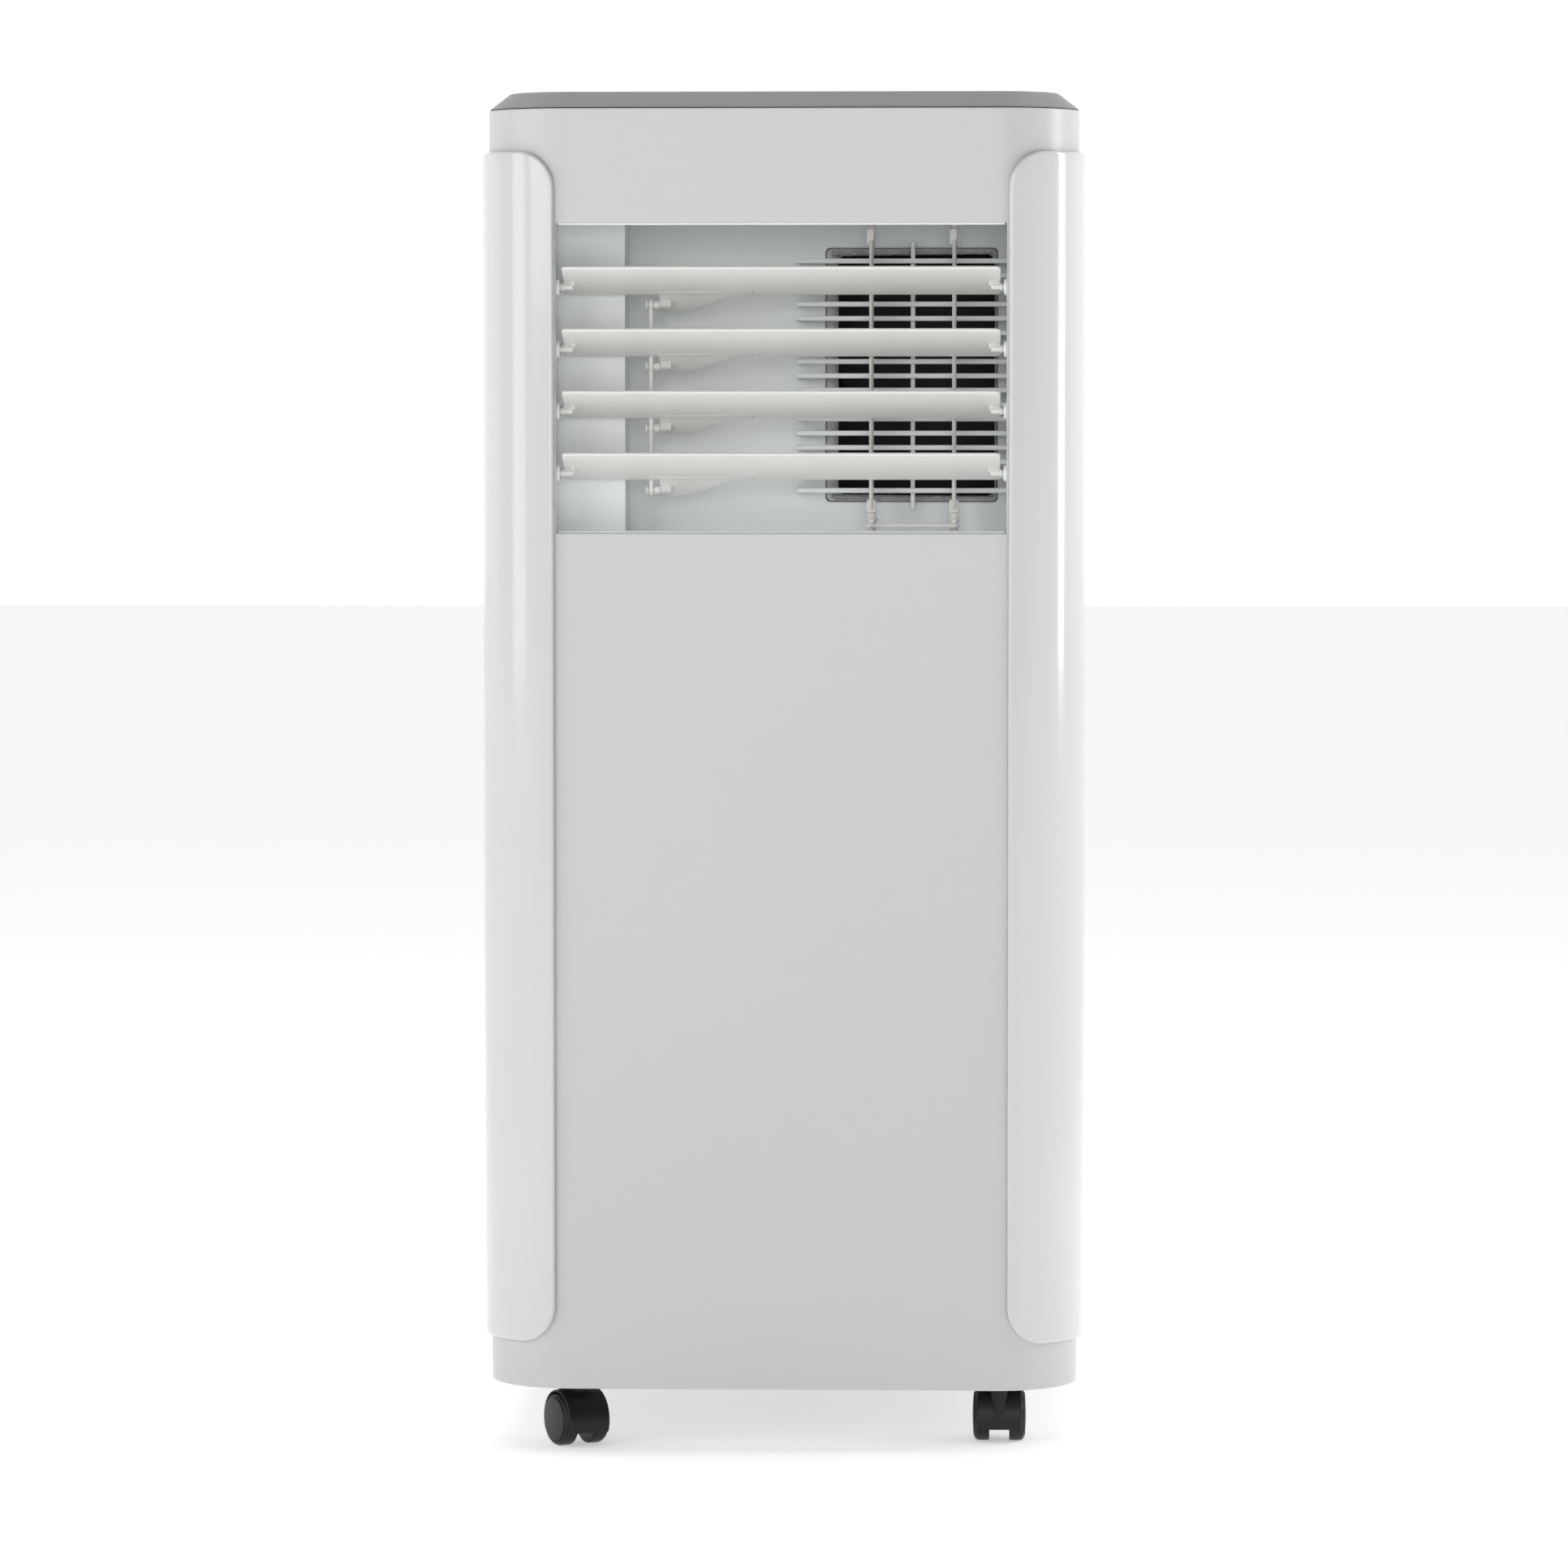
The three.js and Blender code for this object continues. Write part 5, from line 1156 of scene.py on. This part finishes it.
def makeCassette(node, low, high):
    face = casing["halfDepth"]
    half, low, high = rear["intakeHalf"] - cassette["gap"], low + cassette["gap"], high - cassette["gap"]
    lip, frame0, deep, pitch = (cassette[key] for key in ("lip", "frame", "deep", "slatPitch"))
    # the frame's closed section: each ring's reach past the opening, distance behind the face, and corner
    section = [(0, -deep, 1.5), (0, 0.3, 1.5), (lip, 0.3, 3.5), (lip, 1.4, 3.5), (lip - 0.8, 2.2, 2.9),
               (-frame0, 2.2, 1.2), (-frame0 - 0.5, 1.6, 1.0), (-frame0 - 0.5, -deep, 1.0)]
    rings = []
    for out, y, corner in section:
        edge = roundedRect(-half - out, half + out, low - out, high + out, corner, 5)
        rings.append(placed(edge[:, 0], edge[:, 1], np.full(len(edge), face + y), "y"))
    shapes = [loft(rings, closed=True)]
    count = int((high - low - 12) // pitch)
    first = (low + high) / 2 - (count - 1) * pitch / 2
    # slats between the slots, each leaning down towards the outside
    slat = np.array([[-11.4, 3.0], [-10.6, 3.4], [1.5, -0.6], [2.0, -1.4], [1.6, -2.2], [0.6, -2.2],
                     [-11.4, 1.4]])
    for i in range(count + 1):
        lean = slat + (face, first + (i - 0.5) * pitch)
        shapes.append(plate(lean, -(half - frame0), half - frame0, "x", 0.3))
    wide, scoop = cassette["barHalf"], cassette["scoopHalf"]
    shapes.append(block(-wide, wide, face - 11.8, face + 2.2, low + 3, high - 3, 0.6))
    # a finger scoop on the frame's upper edge
    shapes.append(block(-scoop, scoop, face + 1.8, face + 2.7, high - 0.4, high + 2.4, 0.4))
    addPiece(node + "_frame", shapes, "shellWhite", node=node)
    # the net is a solid sheet; its near-black between the threads is painted shade for the openings
    sheet = block(-half + 3, half - 3, face - 11.9, face - 11.2, low + 3, high - 3, 0)
    addPiece(node + "_net", [sheet], "filterNet", body=bodyOf(node), weighted=False)


# A closed section of (radius, y) turned about an axle that runs along y through (x, z).
def turnedRing(section, x, z, steps):
    section = np.asarray(section, float)
    a = np.linspace(0, 2 * math.pi, steps, endpoint=False)
    return loft(np.stack([x + np.outer(section[:, 0], np.cos(a)), np.repeat(section[:, 1:2], steps, 1),
                          z + np.outer(section[:, 0], np.sin(a))], -1), closed=True)


def fromFace(section):
    return [(radius, casing["halfDepth"] + y) for radius, y in section]


# Sections are (radius, distance behind the rear face), except where the depth is given.
exhaust = {
    "bore": 60.0, "ringFront": 86.0, "ringSteps": 96,
    "flange": [(62.0, 0.3), (67.4, 0.3), (68.0, 0.8), (68.0, 1.8), (67.6, 2.2), (63.4, 2.2), (62.8, 2.5),
               (62.2, 2.8), (60.8, 2.8), (60.2, 2.6), (60.0, 2.2)],
    "threads": (-6, -14), "guardRings": (14, 29, 44), "spokes": 6, "guardFront": 88.2, "guardBack": 90.6,
    "hub": [(1.0, 87.6), (5.4, 87.8), (6.0, 88.4), (6.0, 90.4), (5.4, 91.0), (1.0, 91.4)],
}


def makeExhaust():
    x, z, _ = rear["exhaust"]
    bore, front = exhaust["bore"], exhaust["ringFront"]
    profile = [(bore, front + 0.3), (bore + 2, front)] + fromFace(exhaust["flange"])
    # two shallow ribs inside the bore, for the hose
    for start in exhaust["threads"]:
        profile += fromFace([(bore, start + 1.2), (bore - 0.8, start + 0.7),
                             (bore - 0.8, start - 0.7), (bore, start - 1.2)])
    ring = turnedRing(profile, x, z, exhaust["ringSteps"])
    addPiece("exhaust_collar_ring", [ring], "shellWhite", node="exhaust_collar")
    # a guard behind the collar: rings and spokes
    guard, low, high = [], exhaust["guardFront"], exhaust["guardBack"]
    a = np.linspace(0, 2 * math.pi, 64, endpoint=False)
    for radius in exhaust["guardRings"]:
        section = roundedRect(radius - 0.9, radius + 0.9, low, high, 0.4, 2)
        rings = np.stack([x + np.outer(np.cos(a), section[:, 0]), np.repeat(section[None, :, 1], 64, 0),
                          z + np.outer(np.sin(a), section[:, 0])], -1)
        guard.append(loft(rings, closed=True))
    for k in range(exhaust["spokes"]):
        spoke = block(-1.0, 1.0, low + 0.2, high - 0.2, 13.5, 60.4, 0.3)
        guard.append(moved(rotated(spoke, 360 / exhaust["spokes"] * k, "y"), (x, 0, z)))
    guard.append(turned(exhaust["hub"], (x, 0, z), "y", 32))
    addPiece("exhaust_guard", guard, "shellWhite", body=bodyOf("exhaust_collar"))


fittings = {
    "gland": [(4.0, -10), (8.0, -10), (8.0, 0.3), (10.6, 0.3), (11.0, 0.7), (11.0, 1.8), (10.4, 2.3), (7.0, 2.6),
              (5.6, 2.8), (4.6, 2.7), (4.0, 2.2)],
    "plug": [(5.4, -9), (6.0, -8.4), (6.0, 0.3), (8.2, 0.3), (8.5, 0.6), (8.5, 1.3), (8.0, 1.8), (1.0, 1.9)],
    "screw": [(3.4, -0.2), (3.4, 0.25), (3.0, 0.6), (2.0, 0.95), (0.5, 1.1)],
    "screwPlaces": [(-104, 662), (-104, 410), (104, 662), (104, 410), (104, 232), (104, 50)],
    "crossTurns": (20, 110),
}


def makeRearFittings():
    face = casing["halfDepth"]
    x, z, _ = rear["gland"]
    ring = turnedRing(fromFace(fittings["gland"]), x, z, 48)
    addPiece("cord_gland_ring", [ring], "rubberBlack", node="cord_gland")
    for node, (x, z, _) in zip(("upper_drain_plug", "lower_drain_plug"), rear["drains"]):
        shapes = [turned(fromFace(fittings["plug"]), (x, 0, z), "y", 40),
                  block(x - 1.2, x + 1.2, face + 1, face + 2.8, z - 6, z + 6, 0.5)]
        addPiece(node + "_cap", shapes, "rubberBlack", node=node)
    # pan-head screws that hold the rear shell, each with a crossed recess drawn as a thin black cross on the
    # head: painted shade, not a hollow
    screws, crosses = [], []
    for x, z in fittings["screwPlaces"]:
        screws.append(turned(fromFace(fittings["screw"]), (x, 0, z), "y", 24))
        for degrees in fittings["crossTurns"]:
            cross = rotated(block(-1.7, 1.7, face + 0.95, face + 1.16, -0.35, 0.35, 0.05), degrees, "y")
            crosses.append(moved(cross, (x, 0, z)))
    body = bodyOf("rear_panel")
    addPiece("rear_screws", screws, "screwSteel", body=body)
    # the thin black crosses are painted shade of the screw recesses
    addPiece("rear_screw_recess_shade", crosses, "housingBlack", body=body, weighted=False)


makePanel()
makeCassette("upper_filter_cassette", *rear["upper"])
makeCassette("lower_filter_cassette", *rear["lower"])
makeExhaust()
makeRearFittings()
print("panel and rear made")


# ---- machinery and base keep their CAD shapes ----
# each node's finish and the width of its rounded rims
kept = {
    "base_pan": ("zincSheet", 0.5), "control_board": ("boardGreen", 0.2), "swing_motor": ("motorMetal", 0.4),
    "outlet_blower_scroll": ("housingBlack", 0.4), "outlet_blower_wheel": ("housingBlack", 0),
    "outlet_blower_motor": ("motorMetal", 0.5), "exhaust_blower_scroll": ("housingBlack", 0.4),
    "exhaust_blower_wheel": ("housingBlack", 0), "exhaust_blower_motor": ("motorMetal", 0.5),
    "evaporator_coil": ("finAluminium", 0), "condenser_coil": ("finAluminium", 0),
    "drip_tray": ("housingBlack", 0.4), "compressor": ("blackPaint", 0.5),
    "compressor_foot_1": ("rubberBlack", 0.3), "compressor_foot_2": ("rubberBlack", 0.3),
    "compressor_foot_3": ("rubberBlack", 0.3), "accumulator": ("blackPaint", 0.5),
    "discharge_pipe": ("copperTube", 0), "suction_pipe": ("copperTube", 0),
    "capillary_tube": ("copperTube", 0), "control_box": ("zincSheet", 0.5),
}
for node, (finish, rim) in kept.items():
    keepNode(node, finish, rim)
print("machinery finished")


# ---- floor, backdrop and lights ----
def makeFloor():
    material, recipe = newFinish("paleFloor")
    coords = recipe.objectCoords()
    cloud = recipe.noise(coords, 3.0, 2.0)
    colour = recipe.mixColour(cloud, shaded(picture["floorColour"], 0.995), shaded(picture["floorColour"], 1.0))
    recipe.surface({"Base Color": colour, "Roughness": 0.85, "Emission Color": rgb(1, 1, 1),
                    "Emission Strength": picture["floorGlow"], "Specular IOR Level": 0.1})
    mesh = bpy.data.meshes.new("floor")
    mesh.from_pydata([(-12, -8, 0), (12, -8, 0), (12, 14, 0), (-12, 14, 0)], [], [(0, 1, 2, 3)])
    mesh.materials.append(material)
    floor = bpy.data.objects.new("floor", mesh)
    bpy.context.scene.collection.objects.link(floor)


# Sky brightness: front value plus (back - front) times a smooth step of how far the direction points back.
def makeSky():
    world = bpy.data.worlds.new("studio")
    world.use_nodes = True
    bpy.context.scene.world = world
    recipe = Recipe(world.node_tree)
    direction = recipe.node("ShaderNodeTexCoord", output="Generated")
    back = recipe.axis(direction, "Y")
    share = recipe.node("ShaderNodeMapRange", {"interpolation_type": "SMOOTHSTEP"},
                        {"Value": back, "From Min": picture["skyTurn"][0], "From Max": picture["skyTurn"][1],
                         "To Min": picture["skyFront"], "To Max": picture["skyBack"]})
    background = recipe.node("ShaderNodeBackground", None, {"Color": rgb(1.0, 1.0, 1.0), "Strength": share})
    recipe.node("ShaderNodeOutputWorld", None, {0: background})


lights = {
    "nearBox": {"azimuth": -36, "distance": 1.9, "height": 1.05, "size": (1.0, 0.9), "power": 6.6, "aim": 0.45},
    "frontBox": {"azimuth": 3, "distance": 3.7, "height": 0.95, "size": (1.8, 1.2), "power": 24.0, "aim": 0.5},
    "leftBox": {"azimuth": -66, "distance": 1.7, "height": 0.98, "size": (0.5, 1.3), "power": 4.5, "aim": 0.98},
    "rightStrip": {"azimuth": 88, "distance": 1.6, "height": 1.0, "size": (0.24, 1.3), "power": 12.0,
                   "aim": 1.0},
    "topBox": {"azimuth": 180, "distance": 0.7, "height": 2.6, "size": (2.4, 1.6), "power": 14.0, "aim": 0.0},
}


def makeLights():
    for name, look in lights.items():
        light = bpy.data.lights.new(name, "AREA")
        light.shape, (light.size, light.size_y) = "RECTANGLE", look["size"]
        light.energy = look["power"]
        lamp = bpy.data.objects.new(name, light)
        bpy.context.scene.collection.objects.link(lamp)
        a = math.radians(look["azimuth"])
        lamp.location = (look["distance"] * math.sin(a), -look["distance"] * math.cos(a), look["height"])
        aim = Vector((0, 0, look["aim"])) - lamp.location
        lamp.rotation_euler = aim.to_track_quat("-Z", "Y").to_euler()


makeFloor()
makeSky()
makeLights()
bpy.context.scene.view_settings.view_transform = "Standard"
bpy.context.scene.view_settings.look = "None"
print("studio made")
